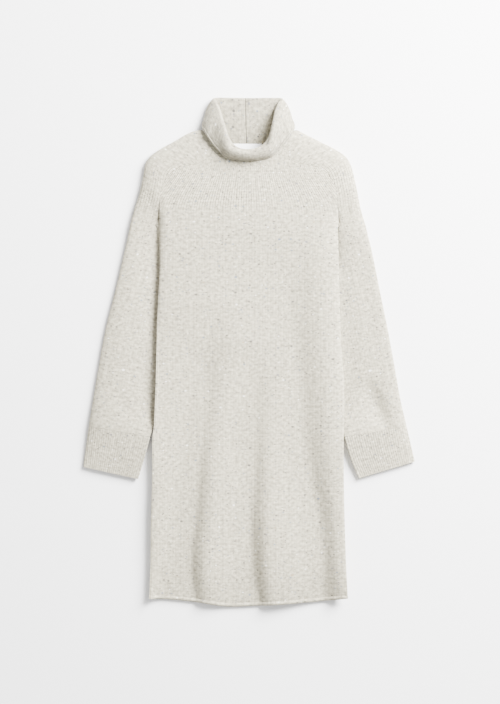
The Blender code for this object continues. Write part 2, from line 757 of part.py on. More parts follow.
def points_at(curves, distances):
    """Rows of points, one on each curve, at the given distances along it."""
    runs = curve_lengths(curves)
    rows = []
    for row in distances:
        points = [
            [np.interp(at, runs[:, column], curves[:, column, axis]) for axis in range(3)]
            for column, at in enumerate(row)
        ]
        rows.append(np.array(points))
    return rows


def cuff(name, side):
    """A ribbed cuff: ribs stand out of its outer sheet over a plain inner one."""
    columns = CUFF_RIBS * len(RIB_WAVE)
    shares = (1 - np.cos(np.linspace(0, math.pi, SECTION_STEPS))) / 2
    table = np.array(CUFF, float)
    ends = table[:, 0:4] if side < 0 else table[:, 4:8]
    plain = []
    for row in ends:
        section = tube_section(
            row[0:2], row[2:4], CUFF_EDGE_Z, CUFF_INNER_Z, CUFF_TOP_Z, shares, CUFF_REACH
        )
        steps = np.linalg.norm(np.diff(section, axis=0), axis=1)
        run = np.concatenate([[0], np.cumsum(steps)])
        at = np.arange(columns) * run[-1] / columns
        ring = np.column_stack([np.interp(at, run, section[:, axis]) for axis in range(3)])
        plain.append(ring)
    plain = np.array(plain)
    heading = unit((plain[-1] - plain[0]).mean(axis=0))
    plain[0] += heading * SEAM_GAP / 2
    rows = len(plain)
    number = np.arange(rows * columns).reshape(rows, columns)
    ring = np.concatenate([number, number[:, :1]], axis=1)
    faces = grid_faces(ring, flip=side > 0)
    points = plain.reshape(-1, 3)
    normals = vertex_normals(points, faces)
    inner = points - normals * WALL
    wave = np.tile(np.tile(RIB_WAVE, CUFF_RIBS), rows)
    shown = ease((points[:, 2] - RIB_FADE[0]) / (RIB_FADE[1] - RIB_FADE[0]))
    outer = points + normals * (wave * RIB_HEIGHT * shown)[:, None]
    outer[:, 2] = np.maximum(outer[:, 2], 0)
    wall(name, outer, inner, faces, "rib")


def label():
    """A small woven label, lying on the inside of the back just below the neck seam."""
    width, height = LABEL_SIZE
    x = LABEL_X + np.linspace(-width / 2, width / 2, 5)
    y = NECK_BACK_Y - LABEL_DROP - np.linspace(height, 0, 4)
    z = WALL + SEAM_GAP
    points = np.array([(across, up, z) for up in y for across in x])
    number = np.arange(len(points)).reshape(4, 5)
    raised = points + (0, 0, LABEL_WALL)
    wall("label", raised, points, grid_faces(number), "label")


def main():
    for old in list(bpy.data.objects):
        bpy.data.objects.remove(old, do_unlink=True)
    front = body_panel(
        "front", 1, FRONT_COLUMNS, NECK_COLUMNS, RAGLAN_FRONT, FRONT_CORNER, NECK_FRONT_Y, front_z
    )
    back = body_panel(
        "back", -1, BACK_COLUMNS, BACK_NECK_COLUMNS, RAGLAN_BACK, BACK_CORNER, NECK_BACK_Y, back_z
    )
    necks = {}
    for side_name, side in SIDES:
        front_xy = raglan(RAGLAN_FRONT, side, FRONT_CORNER)
        front_points = np.column_stack([front_xy, front_z(front_xy[:, 0], front_xy[:, 1])])
        back_xy = raglan(RAGLAN_BACK, side, BACK_CORNER)
        middles = (back_xy[0:SHOULDER_ROWS:2] + back_xy[2 : SHOULDER_ROWS + 1 : 2]) / 2
        back_xy[1:SHOULDER_ROWS:2] = middles
        back_points = np.column_stack([back_xy, back_z(back_xy[:, 0], back_xy[:, 1])])
        sections = sleeve("sleeve_" + side_name, side, front_points, back_points)
        necks[side] = sections[0], neck_inward(sections[0], side)
        cuff("cuff_" + side_name, side)
    shoulder = SHOULDER_ROWS
    front_neck = front[-1, shoulder:-shoulder]
    back_shoulder = (BACK_COLUMNS - BACK_NECK_COLUMNS) // 2
    back_neck = back[-1, back_shoulder:-back_shoulder][::-1]
    down = np.tile((0.0, 0.0, -1.0), (len(front_neck), 1))
    rise = np.tile((0.0, 0.0, 1.0), (len(back_neck), 1))
    right, left = necks[1], necks[-1]
    neck = np.concatenate([front_neck[:-1], right[0][:-1], back_neck[:-1], left[0][::-1][:-1]])
    inward = np.concatenate([down[:-1], right[1][:-1], rise[:-1], left[1][::-1][:-1]])
    collar(neck, inward)
    label()


main()
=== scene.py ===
# %% [markdown]
# # A knitted turtleneck sweater dress
# The dress lies flat on its back with its sleeves beside it. It is made here the way a knitter
# thinks of it: front, back, sleeves, cuffs and collar are separate pieces of cloth, each one a thin
# wall that follows its own solid in the frame, with the stitches as a bump that runs along the
# wales and painted shade in their grooves. Sizes are in millimetres in the tables, and each mesh
# turns them into metres.

import math

import bpy
import numpy as np
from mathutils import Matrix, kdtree


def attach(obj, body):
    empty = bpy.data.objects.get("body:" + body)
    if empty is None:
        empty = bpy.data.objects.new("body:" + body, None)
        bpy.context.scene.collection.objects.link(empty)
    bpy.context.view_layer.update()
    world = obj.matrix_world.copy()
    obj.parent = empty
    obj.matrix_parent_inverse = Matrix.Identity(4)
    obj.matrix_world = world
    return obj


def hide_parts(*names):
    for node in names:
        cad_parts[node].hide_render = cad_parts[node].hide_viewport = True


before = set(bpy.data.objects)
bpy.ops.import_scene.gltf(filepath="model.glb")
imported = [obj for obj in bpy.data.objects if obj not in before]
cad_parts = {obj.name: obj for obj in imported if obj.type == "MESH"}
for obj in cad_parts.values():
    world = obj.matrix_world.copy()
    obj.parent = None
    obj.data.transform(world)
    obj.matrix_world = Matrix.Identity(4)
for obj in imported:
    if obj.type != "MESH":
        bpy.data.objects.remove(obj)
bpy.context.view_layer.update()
bpy.ops.object.select_all(action="DESELECT")
MM = 0.001
print("nodes:", sorted(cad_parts))

# %% [markdown]
# ## Camera
# A flat lay is seen from straight above. A long lens high over the floor keeps the outline free of
# perspective, and the height and the field are worked out from the stretch of floor in the picture.

# %% Camera
PICTURE = (500, 704)
FLOOR_PER_PIXEL = 1.9 * MM
CAMERA_CENTRE = (0.0018, 0.0003)
CAMERA_HEIGHT = 5.0
SENSOR = 36.0

camera_data = bpy.data.cameras.new("overhead_camera")
camera_data.sensor_fit = "VERTICAL"
camera_data.sensor_height = SENSOR
camera_data.lens = SENSOR * CAMERA_HEIGHT / (PICTURE[1] * FLOOR_PER_PIXEL)
camera_data.clip_end = 50
camera = bpy.data.objects.new("overhead_camera", camera_data)
camera.location = (*CAMERA_CENTRE, CAMERA_HEIGHT)
bpy.context.scene.collection.objects.link(camera)
bpy.context.scene.camera = camera
print("lens", round(camera_data.lens, 1), "mm")

# %% [markdown]
# ## Floor and light
# The dress lies on a sheet of matt white paper. One large soft box stands to the upper right, so
# the shadows fall softly to the left and below, and a pale surround fills them.

# %% Floor and light
FLOOR_SIZE = 12.0
FLOOR_COLOUR = (0.94, 0.94, 0.94, 1)
KEY_PLACE = (1.75, 1.65, 1.6)
KEY_SIZE = 1.7
KEY_POWER = 910
SURROUND = 1.15


def plain_material(name, colour, roughness):
    """A matt material of one colour."""
    made = bpy.data.materials.new(name)
    made.use_nodes = True
    shader = made.node_tree.nodes["Principled BSDF"]
    shader.inputs["Base Color"].default_value = colour
    shader.inputs["Roughness"].default_value = roughness
    shader.inputs["Specular IOR Level"].default_value = 0.2
    return made


def soft_box(name, place, size, power):
    """A square area light that looks at the middle of the dress."""
    data = bpy.data.lights.new(name, "AREA")
    data.size = size
    data.energy = power
    light = bpy.data.objects.new(name, data)
    light.location = place
    light.rotation_euler = (-light.location).to_track_quat("-Z", "Y").to_euler()
    bpy.context.scene.collection.objects.link(light)


bpy.ops.mesh.primitive_plane_add(size=FLOOR_SIZE)
floor = bpy.context.object
floor.name = "floor"
floor.data.materials.append(plain_material("white_paper", FLOOR_COLOUR, 0.9))
soft_box("key_box", KEY_PLACE, KEY_SIZE, KEY_POWER)
world = bpy.data.worlds.new("pale_surround")
world.use_nodes = True
world.node_tree.nodes["Background"].inputs["Color"].default_value = (1, 1, 1, 1)
world.node_tree.nodes["Background"].inputs["Strength"].default_value = SURROUND
bpy.context.scene.world = world
print("floor and light ready")

# %% [markdown]
# ## The cut of the dress
# These tables are the driving sizes of the garment. They say where each outline runs and how high
# the cloth lies. X runs across, Y from the hem to the neck and Z up.

# %% Sizes of the body
MIDDLE = (0.5, 0.68, 0)  # the middle of the whole dress in the tables below, moved to the origin
WALL = 2.5
SEAM_GAP = 0.3
SIDES = (("left", -1), ("right", 1))
ARMPIT_Y = 237
ARMPIT_Z = 9
SIDE_SEAM_Z = 13
SIDE_SEAM_RISE = 60  # the side seam gains its height over this far below the armpit
CREASE_TOP_Y = 305  # the crease between body and sleeve fades out here
BACK_ROUNDING = 28
BACK_POWER = 1.8  # how steeply the back rises to its side seams
CROWN_DROP = 2.2  # how much lower the front lies at its sides than along its middle
BODY_SIDES = (  # y, left x, right x
    (-461, -188.5, 187.2), (-394, -186, 184), (-318, -185.5, 181.5), (-242, -183, 180),
    (-166, -182.5, 179.5), (-138, -179.5, 180.5), (-90, -177.3, 181), (-52, -176, 180.5),
    (-14, -175, 177), (62, -173.5, 173.5), (171, -168.8, 170.5), (214, -170.2, 169.8),
    (ARMPIT_Y, -171.5, 169.8),
)
HEM = (  # x, y
    (-189, -467), (-159, -468), (-98, -474), (-32, -482.5), (16, -480.5), (78, -477),
    (135, -472), (187.2, -466),
)
HEM_ROLL = (  # distance from the edge, height raised: a soft bead and the groove above it
    (0, -0.8), (2.2, 0.9), (4.6, 0.8), (6.6, -0.5), (10, 0),
)
LOFT = (  # y, height of the front along its middle
    (-480, 29), (-300, 28), (0, 23), (237, 21), (330, 20.5), (385, 19),
)
FOLDS = {  # each a trough down the front: y, x, depth, half width
    "middle left": (
        (-480, -101, 11, 21), (-394, -100, 10.5, 21), (-318, -93, 8.5, 22),
        (-242, -87, 7, 23), (-166, -81, 5, 24), (-90, -70, 3.4, 26), (-14, -58, 2, 28),
        (90, -40, 0, 30),
    ),
    "middle right": (
        (-480, 21, 9.5, 21), (-394, 16, 9, 21), (-318, 14, 7, 22), (-242, 16, 5.4, 23),
        (-166, 14, 4.2, 25), (-90, 18, 2.6, 27), (20, 22, 0, 30),
    ),
    "right": (
        (-480, 160, 3.2, 17), (-394, 158, 3.6, 18), (-318, 152, 4, 20),
        (-242, 139, 4.2, 23), (-166, 130, 4, 26), (-90, 125, 3.6, 28), (62, 112, 2.4, 30),
        (230, 95, 0, 30),
    ),
}
print("folds down the front:", len(FOLDS))

# %% Sizes of the raglan seams and sleeves
NECK_FRONT_Y = 371
NECK_POWER = 2.4  # the neckline's curve: 2 is a parabola, and more is flatter in its middle
RAGLAN_FRONT = (
    (59, 402), (63.5, 392.5), (68, 383), (76, 371), (91, 360), (123, 353), (137, 348),
    (149, 338), (158, 327), (164, 315), (167.5, 295), (169.5, 267), (172, ARMPIT_Y),
)
NECK_BACK_Y = 397
RAGLAN_BACK = (
    (60, 408), (84, 389), (104, 369), (125, 346), (142, 322), (155, 296), (165, 268),
    (172, ARMPIT_Y),
)
SHOULDER_LEFT = (  # the sleeve's outer fold, x outward and y, from the neck to the armpit's level
    (79, 417), (91, 422), (104, 420), (144, 399), (174, 382), (189, 370), (197, 355),
    (201.5, 328), (208, 300), (217.5, 270), (225.5, 240),
)
SHOULDER_RIGHT = (
    (79, 418), (90, 422), (104, 415.5), (139, 398), (169, 382.5), (186, 369), (195, 352),
    (201, 328), (207, 300), (213, 270), (222, 240),
)
SHOULDER_Z = 7  # height of the sleeve's outer fold at the shoulder
SHOULDER_TURN = 0.47  # share of that fold where the sleeve turns down from the shoulder
SLEEVE_TOP_Z = 15.5
SLEEVE_REACH = 14  # the underside reaches the floor this far in from the fold
CLOSING_ROWS = 16  # over this many sections the open shoulder turns into a tube
CLOSING = 0.9  # and gets this much of a tube's shape before the armpit
SHOULDER_POWER = 2.6  # roundness over the top of the shoulder, where 2 is an ellipse
TUBE_POWER = 2.4  # and of the sleeve and the cuff
FRONT_CORNER = 0.5  # share of the raglan seam where the yoke's top turns down to its side
BACK_CORNER = 0.62
SLEEVE = (  # left outer x, y, left inner x, y, right outer x, y, right inner x, y, inner z, top
    (-225.5, 240, -171.5, 237, 222, 240, 169.8, 237, 11, 15.5),
    (-230, 217, -168.5, 211, 227.5, 217, 168, 211, 7, 15),
    (-235, 195, -165.5, 187, 233, 195, 167, 187, 6, 14.5),
    (-253, 119, -165, 107, 248.5, 119, 167, 107, 5.5, 14),
    (-272, 43, -166, 28, 264, 43, 168, 28, 5, 14),
    (-286, -33, -169, -52, 278, -33, 171, -52, 5, 13.5),
    (-296, -92, -173.5, -112, 288.5, -92, 174, -112, 9.7, 15),
    (-304, -139, -187, -160, 299.5, -139, 181, -160, 15, 17),
)
SLEEVE_EDGE_Z = 5.5
EDGE_SETTLING = 25  # rows over which the outer fold settles to that height below the armpit
CUFF = (  # left outer x, y, left inner x, y, right outer x, y, right inner x, y
    (-303.8, -139.2, -187.2, -160.2, 299.3, -139.2, 181.2, -160.2),
    (-309, -178, -198.5, -202, 307.3, -173, 192.5, -199),
    (-314, -217, -210, -240, 315, -207, 209, -238.5),
)
CUFF_TOP_Z = 17
CUFF_EDGE_Z = 5
CUFF_REACH = 9
CUFF_RIBS = 58
print("sleeve sections:", len(SLEEVE))

# %% Sizes of the collar and label
COLLAR = (  # quarter, rim x, y, z, edge x, y, z, outward x, y, z, radius of the fold
    (0, -49, 426, 37, -61, 386, 24.5, -0.9, -0.4, 0, 4.4),
    (0.25, -37, 386, 39, -39, 368, 21.5, -0.5, -0.85, 0, 4.8),
    (0.5, -1.5, 374.5, 39, -1.5, 364, 22, 0, -1, 0, 5),
    (0.75, 38, 389, 39, 41, 371, 21.5, 0.5, -0.85, 0, 4.8),
    (1, 47.5, 424, 37, 61, 390, 23.5, 0.9, -0.4, 0, 4.4),
    (1.25, 52, 446, 29, 76, 407, 22.5, 0.99, 0, -0.1, 3.9),
    (1.375, 54, 457, 24.5, 81.5, 416.5, 18.2, 0.97, 0, -0.2, 3.6),
    (1.5, 57, 465, 20, 86, 426, 11, 0.95, 0, -0.3, 3.4),
    (1.625, 60, 471.5, 16.5, 85, 433, 7.5, 0.93, 0, -0.35, 3.3),
    (1.75, 63.5, 477.5, 12.5, 81, 437, 4.2, 0.85, 0, -0.5, 3.1),
    (1.875, 62, 481.5, 8, 74, 438, 2.1, 0.5, 0, -0.85, 3),
    (2, 51, 482.3, 5.4, 61, 438, 1.25, 0, 0, -1, 3),
    (2.5, -2, 482, 4.8, -2, 437, 1.25, 0, 0, -1, 3),
    (3, -55, 482.6, 5.4, -63, 438, 1.25, 0, 0, -1, 3),
    (3.125, -66, 481.5, 8, -76, 438, 2.1, -0.5, 0, -0.85, 3),
    (3.25, -67.5, 477.5, 12.5, -83, 437, 4.2, -0.85, 0, -0.5, 3.1),
    (3.375, -64, 471.5, 16.5, -87, 433, 7.5, -0.93, 0, -0.35, 3.3),
    (3.5, -61, 465, 20, -87.5, 427, 11, -0.95, 0, -0.3, 3.4),
    (3.625, -58, 457, 24.5, -83, 417, 21, -0.97, 0, -0.2, 3.6),
    (3.75, -55, 446, 29, -78, 408, 24.5, -0.99, 0, -0.1, 3.9),
)
STAND_LEAVE = 9  # the stand leaves the neck seam level for about this far
STAND_LIFT = 2.5  # and bends away from the fall by this, inwards at the front
LOW_NECK = 6  # and upwards where the neck seam is lower than this
FOLD_PULL = 0.45  # both layers leave the fold straight for this share of their length
FOLD_DROP = 5  # but drop by this much at most on the way
ROLL_OVER = 0.3  # how soon the fall leaves the roll: 0 is at its top, and 1 half a turn round it
FALL_REACH = 14  # the fall keeps the direction in which it leaves the roll for this far at most
STAND_ROWS = 16
STAND_RELAXING = 40
FOLD_ROWS = 10
FALL_ROWS = 14
FALL_LIP = (  # distance from the fall's edge, height raised
    (6.5, -0.4), (4.4, 0.8), (2, 0.9), (0, -0.3),
)
LABEL_SIZE = (54, 22)
LABEL_X = -2.5
LABEL_DROP = 0.8  # how far its top lies below the neck seam
LABEL_WALL = 0.6
COLUMNS = 108  # across the front, and across the back
NECK_COLUMNS = 48  # of those, the ones that end on the neckline
YOKE_ROWS = 24
YOKE_RELAXING = 400
SIDE_CROWDING = 0.58  # how much closer the body's columns lie at its sides
BODY_ROWS = 150
SLEEVE_COLUMNS = 24  # over the top, and as many again underneath
SLEEVE_ROWS = 90
CURVE_STEPS = 60  # fine steps along a collar's layer, from which its rows are picked
SECTION_STEPS = 400  # and round a cuff's section
SHOULDER_ROWS = (COLUMNS - NECK_COLUMNS) // 2
RAGLAN_ROWS = SHOULDER_ROWS + YOKE_ROWS
print("collar sections:", len(COLLAR))

# %% [markdown]
# ## Reading the tables
# A table row gives a key, such as y, and then its values. Between rows the values follow a cubic
# that never overshoots, so an outline keeps to its points without ripples of its own.

# %% Curves through a table
def smooth(table, at):
    """Reads a table of rows (key, values...) along smooth curves that never overshoot a row."""
    rows = np.array(table, float)
    keys, values = rows[:, 0], rows[:, 1:]
    rises = np.diff(values, axis=0) / np.diff(keys)[:, None]
    slopes = np.concatenate([rises[:1], np.zeros_like(values[1:-1]), rises[-1:]])
    same_way = rises[:-1] * rises[1:] > 0
    gaps = np.diff(keys)[:, None]
    before, after = gaps[:-1] + 2 * gaps[1:], 2 * gaps[:-1] + gaps[1:]
    safe = np.where(same_way, rises[:-1], 1), np.where(same_way, rises[1:], 1)
    mean = (before + after) / (after / safe[0] + before / safe[1])
    slopes[1:-1] = np.where(same_way, mean, 0)
    at = np.clip(np.atleast_1d(np.asarray(at, float)), keys[0], keys[-1])
    first = np.clip(np.searchsorted(keys, at, side="right") - 1, 0, len(keys) - 2)
    step = (keys[first + 1] - keys[first])[:, None]
    t = (at - keys[first])[:, None] / step
    return (
        values[first] * (1 + 2 * t) * (1 - t) ** 2
        + values[first + 1] * t**2 * (3 - 2 * t)
        + slopes[first] * step * t * (1 - t) ** 2
        - slopes[first + 1] * step * t**2 * (1 - t)
    )


def along(points, shares):
    """Points at the given shares of the length of a smooth curve through the given points."""
    points = np.array(points, float)
    steps = np.concatenate([[0], np.cumsum(np.linalg.norm(np.diff(points, axis=0), axis=1))])
    return smooth(np.column_stack([steps / steps[-1], points]), shares)


def ease(t):
    """A soft step from 0 to 1."""
    t = np.clip(t, 0, 1)
    return t * t * (3 - 2 * t)


def unit(vectors):
    """The same directions at a length of 1."""
    return vectors / np.linalg.norm(vectors, axis=-1, keepdims=True)


print("body's sides half way up:", smooth(BODY_SIDES, 0).round(1))

# %% Heights of the front and the back
def side_x(y):
    """The body's left and right edges at y, straight up above the armpit."""
    return smooth(BODY_SIDES, y).T


def crease(y):
    """1 below the armpit, where body and sleeve are parted, to 0 on the yoke."""
    return 1 - ease((np.asarray(y, float) - ARMPIT_Y) / (CREASE_TOP_Y - ARMPIT_Y))


def seam_z(y):
    """Height of the side seam, which is lowest at the armpit."""
    below = ease((ARMPIT_Y - np.asarray(y, float)) / SIDE_SEAM_RISE)
    return ARMPIT_Z + (SIDE_SEAM_Z - ARMPIT_Z) * below


def edge_distance(x, y):
    """How far a point of the body lies in from the nearer side."""
    left, right = side_x(y)
    return np.clip(np.minimum(x - left, right - x), 0, None)


FOLD_LEAN = {  # each fold's shift, the reach of its left and right side in half widths, strength
    "middle left": (-0.93, 3.2, 1.15, 1.0),
    "middle right": (-0.66, 3.6, 1.05, 1.0),
    "right": (-1.15, 4.4, 1.4, 1.15),
}
CROWN_X = 25  # the front is highest here
CROWN_REACH = 180  # and lower by CROWN_DROP this far from it
FOLD_FULL = 25  # the folds' depth grows quickly and levels off below this
FOLD_SOON = 4.5  # the less, the sooner it does
HEM_FALL = (40, 8)  # the front falls towards its hem over this distance, and by this much
HEM_FALL_POWER = 1.5
SIDE_REACH = 20, 30, 42, 40  # its sides round off over this: left high and low, right high and low
SIDE_HEIGHTS = (  # y, what is added to the left side seam's height, and to the right one's
    (-480, 1, 7.5), (-250, 2, 8), (-190, 4, 7), (-140, 5, 5.5), (-90, 5, 3), (0, 4, 0),
    (120, 2.5, 0), (214, 0, 0),
)
LOWEST = 5.9  # the folds flatten out above this height, so that the front clears the back
FAR_ABOVE = 30  # the front never lies this far above it, and the limit keeps the sum small
LOW_START = -140  # below here the sides turn to their lower shape
LOW_FADE = 90  # over this distance


def fold_depth(x, y, key):
    """A trough with a long left side and a steep right one, as cloth that has slid over."""
    place, depth, width = smooth(FOLDS[key], y).T
    shift, left, right, strength = FOLD_LEAN[key]
    t = (x - place) / width - shift
    reach = np.where(t < 0, left, right)
    full = FOLD_FULL * strength * (1 - np.exp(-np.maximum(depth, 0) / FOLD_SOON))
    return full * np.exp(-((t / reach) ** 2))


def low_part(y):
    """0 beside the sleeves and 1 well below them."""
    return ease((LOW_START - y) / LOW_FADE)


def side_z(x, y):
    """Height of the side seams."""
    added = smooth(SIDE_HEIGHTS, y)
    return seam_z(y) + np.where(x < 0, added[:, 0], added[:, 1])


def front_z(x, y):
    """Height of the front's outer surface: its loft, rounded down at the sides, less its folds."""
    x = np.atleast_1d(np.asarray(x, float))
    y = np.atleast_1d(np.asarray(y, float))
    loft = smooth(LOFT, y)[:, 0] - CROWN_DROP * ((x - CROWN_X) / CROWN_REACH) ** 2
    for key in FOLD_LEAN:
        loft = loft - fold_depth(x, y, key)
    above_hem = np.clip(y - smooth(HEM, x)[:, 0], 0, None)
    loft = loft - HEM_FALL[1] * np.exp(-((above_hem / HEM_FALL[0]) ** HEM_FALL_POWER))
    loft = LOWEST + np.log1p(np.exp(np.minimum(loft - LOWEST, FAR_ABOVE)))
    low = low_part(y)
    left = SIDE_REACH[0] + (SIDE_REACH[1] - SIDE_REACH[0]) * low
    right = SIDE_REACH[2] + (SIDE_REACH[3] - SIDE_REACH[2]) * low
    inward = np.clip(edge_distance(x, y) / np.where(x < 0, left, right), 0, 1)
    rounded = np.sqrt(1 - (1 - inward) ** 2)
    return loft - (loft - side_z(x, y)) * crease(y) * (1 - rounded)


def back_z(x, y):
    """Height of the back's outer surface: on the floor, and up to the seams at its sides."""
    near = np.clip(1 - edge_distance(x, y) / BACK_ROUNDING, 0, 1)
    return side_z(x, y) * crease(y) ** 2 * near**BACK_POWER


print("front at its middle:", front_z(0, 0).round(1), "mm up")

# %% [markdown]
# ## Outlines of the pieces
# Each piece starts as a coarse grid of points between its seams. Neighbours share the same seam
# points, so they meet all the way along.

# %% Body outlines
HEM_FINE = np.array([0, 0.9, 1.8, 2.8, 3.8, 4.8, 5.8, 6.8, 8, 10])


def stations(turn):
    """Shares of a seam's length where its rows end: over the shoulder, then down to the armpit."""
    over = np.linspace(0, turn, SHOULDER_ROWS + 1)
    down = np.linspace(turn, 1, YOKE_ROWS + 1)
    return np.concatenate([over, down[1:]])


def raglan(table, side, corner_share):
    """A raglan seam's stations, from the neck to the armpit, x and y."""
    points = along(table, stations(corner_share)) * (side, 1)
    points[-1, 0] = side_x(ARMPIT_Y)[0 if side < 0 else 1][0]
    return points


def body_spread():
    """Shares across the body from -1 to 1, closer together at the sides."""
    even = np.linspace(-1, 1, COLUMNS + 1)
    return even + SIDE_CROWDING * (np.sin(even * math.pi / 2) - even)


def panel(table, corner_share, neck_y):
    """The flat plan of a body panel: rows of x and y from the hem to the neck."""
    spread = body_spread()
    left, right = side_x(ARMPIT_Y)
    armpit_row = np.column_stack(
        [left + (right - left) * (spread + 1) / 2, np.full(COLUMNS + 1, float(ARMPIT_Y))]
    )
    rows = []
    shares = np.linspace(0, 1, BODY_ROWS + 1)[1:]
    for step in range(len(HEM_FINE) + BODY_ROWS):
        x = left + (right - left) * (spread + 1) / 2
        for _ in range(3):  # the sides lean, so x and y settle together
            hem = smooth(HEM, x)[:, 0]
            if step < len(HEM_FINE):
                y = hem + HEM_FINE[step]
            else:
                start = hem + HEM_FINE[-1]
                y = start + (ARMPIT_Y - start) * shares[step - len(HEM_FINE)]
            lefts, rights = side_x(y)
            x = lefts + (rights - lefts) * (spread + 1) / 2
        rows.append(np.column_stack([x, y]))
    seams = {side: raglan(table, side, corner_share) for _, side in SIDES}
    tops = {side: seams[side][: SHOULDER_ROWS + 1] for _, side in SIDES}
    t = np.linspace(-1, 1, NECK_COLUMNS + 1)
    neck_left, neck_right = tops[-1][0], tops[1][0]
    neck = np.column_stack(
        [
            neck_left[0] + (neck_right[0] - neck_left[0]) * (t + 1) / 2,
            neck_y + (neck_left[1] - neck_y) * np.abs(t) ** NECK_POWER,
        ]
    )
    top = np.concatenate([tops[-1][::-1], neck[1:-1], tops[1]])
    lefts = seams[-1][SHOULDER_ROWS:][::-1]
    rights = seams[1][SHOULDER_ROWS:][::-1]
    across = np.linspace(0, 1, COLUMNS + 1)[:, None]
    yoke = [armpit_row]
    for row in range(1, YOKE_ROWS + 1):
        up = row / YOKE_ROWS
        blend = (
            (1 - up) * armpit_row
            + up * top
            + (1 - across) * (lefts[row] - (1 - up) * lefts[0] - up * lefts[-1])
            + across * (rights[row] - (1 - up) * rights[0] - up * rights[-1])
        )
        yoke.append(blend)
    yoke = np.array(yoke)
    for _ in range(YOKE_RELAXING):  # spaces the rows evenly round the neck's corners
        yoke[1:-1, 1:-1] = (
            yoke[:-2, 1:-1] + yoke[2:, 1:-1] + yoke[1:-1, :-2] + yoke[1:-1, 2:]
        ) / 4
    return np.array(rows + list(yoke[1:]))


def panel_edges(rows):
    """Which points of a panel lie on each seam: side, raglan and neck, as (row, column) lists."""
    last, armpit = rows - 1, rows - 1 - YOKE_ROWS
    on_neck = range(SHOULDER_ROWS, COLUMNS - SHOULDER_ROWS + 1)
    found = {"neck": [(last, column) for column in on_neck]}
    for name, side in SIDES:
        edge = 0 if side < 0 else COLUMNS
        turn = 1 if side < 0 else -1
        found["side " + name] = [(row, edge) for row in range(armpit + 1)]
        up = [(row, edge) for row in range(armpit, last)]
        over = [(last, edge + turn * step) for step in range(SHOULDER_ROWS + 1)]
        found["raglan " + name] = up + over
    return found


print("raglan stations:", RAGLAN_ROWS + 1)

# %% Sleeve sections
def section_top(x_share, start_z, end_z, top_z, tube):
    """Heights over the top of a sleeve section: an open shoulder (tube 0) or a tube (tube 1)."""
    open_shape = end_z + (start_z - end_z) * np.sqrt(1 - x_share**SHOULDER_POWER)
    ends = start_z + (end_z - start_z) * x_share
    arch = (1 - np.abs(2 * x_share - 1) ** TUBE_POWER) ** (1 / TUBE_POWER)
    closed_shape = ends + (top_z - ends) * arch
    return open_shape * (1 - tube) + closed_shape * tube


def section_under(distance, edge_z, reach):
    """Heights near one edge of the underside, which reaches the floor this far in."""
    t = np.clip(distance / reach, 0, 1)
    return edge_z * (1 - np.sqrt(1 - (1 - t) ** 2))


def tube_section(outer_xy, inner_xy, edge_z, inner_z, top_z, shares, reach):
    """A closed sleeve or cuff section, from its inner edge over the top and back underneath."""
    width = np.linalg.norm(outer_xy - inner_xy)
    over = section_top(shares, inner_z, edge_z, top_z, 1)
    back = shares[::-1][1:]
    under = section_under((1 - back) * width, edge_z, reach) + section_under(
        back * width, inner_z, reach
    )
    share = np.concatenate([shares, back])
    plan = inner_xy + (outer_xy - inner_xy) * share[:, None]
    return np.column_stack([plan, np.concatenate([over, under])])


def sleeve_sections(side, front_points, back_points):
    """All sections of a sleeve as rows of points, open along the raglan seams, then closed."""
    shares = (1 - np.cos(np.linspace(0, math.pi, SLEEVE_COLUMNS + 1))) / 2
    shoulder = SHOULDER_LEFT if side < 0 else SHOULDER_RIGHT
    folds = along(shoulder, stations(SHOULDER_TURN)) * (side, 1)
    table = np.array(SLEEVE, float)
    ends = table[:, 0:4] if side < 0 else table[:, 4:8]
    steps = np.linalg.norm(np.diff(ends[:, :2], axis=0), axis=1)
    lengths = np.concatenate([[0], np.cumsum(steps)])
    rows = np.column_stack([lengths / lengths[-1], ends, table[:, 8:]])
    below = smooth(rows, np.linspace(0, 1, SLEEVE_ROWS + 1))
    sections = []
    for station in range(RAGLAN_ROWS):
        start, end, under = front_points[station], folds[station], back_points[station]
        tube = ease((station - RAGLAN_ROWS + CLOSING_ROWS) / CLOSING_ROWS) * CLOSING
        top_z = max(start[2], SLEEVE_TOP_Z)
        over = section_top(shares, start[2], SHOULDER_Z, top_z, tube)
        top = np.column_stack([start[:2] + (end - start[:2]) * shares[:, None], over])
        back = shares[1:]
        run = np.linalg.norm(end - under[:2])
        plan = end + (under[:2] - end) * back[:, None]
        low = section_under(back * run, SHOULDER_Z, SLEEVE_REACH) + under[2] * back**3
        sections.append(np.concatenate([top, np.column_stack([plan, low])]))
    for step, row in enumerate(below):
        left_over = max(0, 1 - step / EDGE_SETTLING)
        edge_z = SLEEVE_EDGE_Z + (SHOULDER_Z - SLEEVE_EDGE_Z) * left_over
        section = tube_section(row[0:2], row[2:4], edge_z, row[4], row[5], shares, SLEEVE_REACH)
        sections.append(section)
    return np.array(sections)


print("sections of a sleeve:", RAGLAN_ROWS + SLEEVE_ROWS + 1)

# %% [markdown]
# ## From points to cloth
# A piece of cloth is two sheets of points, an outer one and an inner one, closed by a rim along
# every edge. Each corner of each face also carries its place in the knitting: how many wales
# across and how many courses along it lies. The stitches follow those numbers, so they bend and
# narrow with the cloth.

# %% Walls with stitch coordinates
WALE = 5.0  # width of one stitch
COURSE = 3.1  # height of one stitch
SHARP_ANGLE = 50


def grid_faces(number, flip=False):
    """Quads between the rows and columns of a table of point numbers."""
    faces = np.stack([number[:-1, :-1], number[:-1, 1:], number[1:, 1:], number[1:, :-1]], axis=-1)
    faces = faces.reshape(-1, 4)
    return faces[:, ::-1] if flip else faces


def vertex_normals(points, faces):
    """Normals at the points, each the mean of the faces round it."""
    corners = points[faces]
    square = np.cross(corners[:, 2] - corners[:, 0], corners[:, 3] - corners[:, 1])
    normals = np.zeros_like(points)
    for corner in range(4):
        np.add.at(normals, faces[:, corner], square)
    return unit(normals)


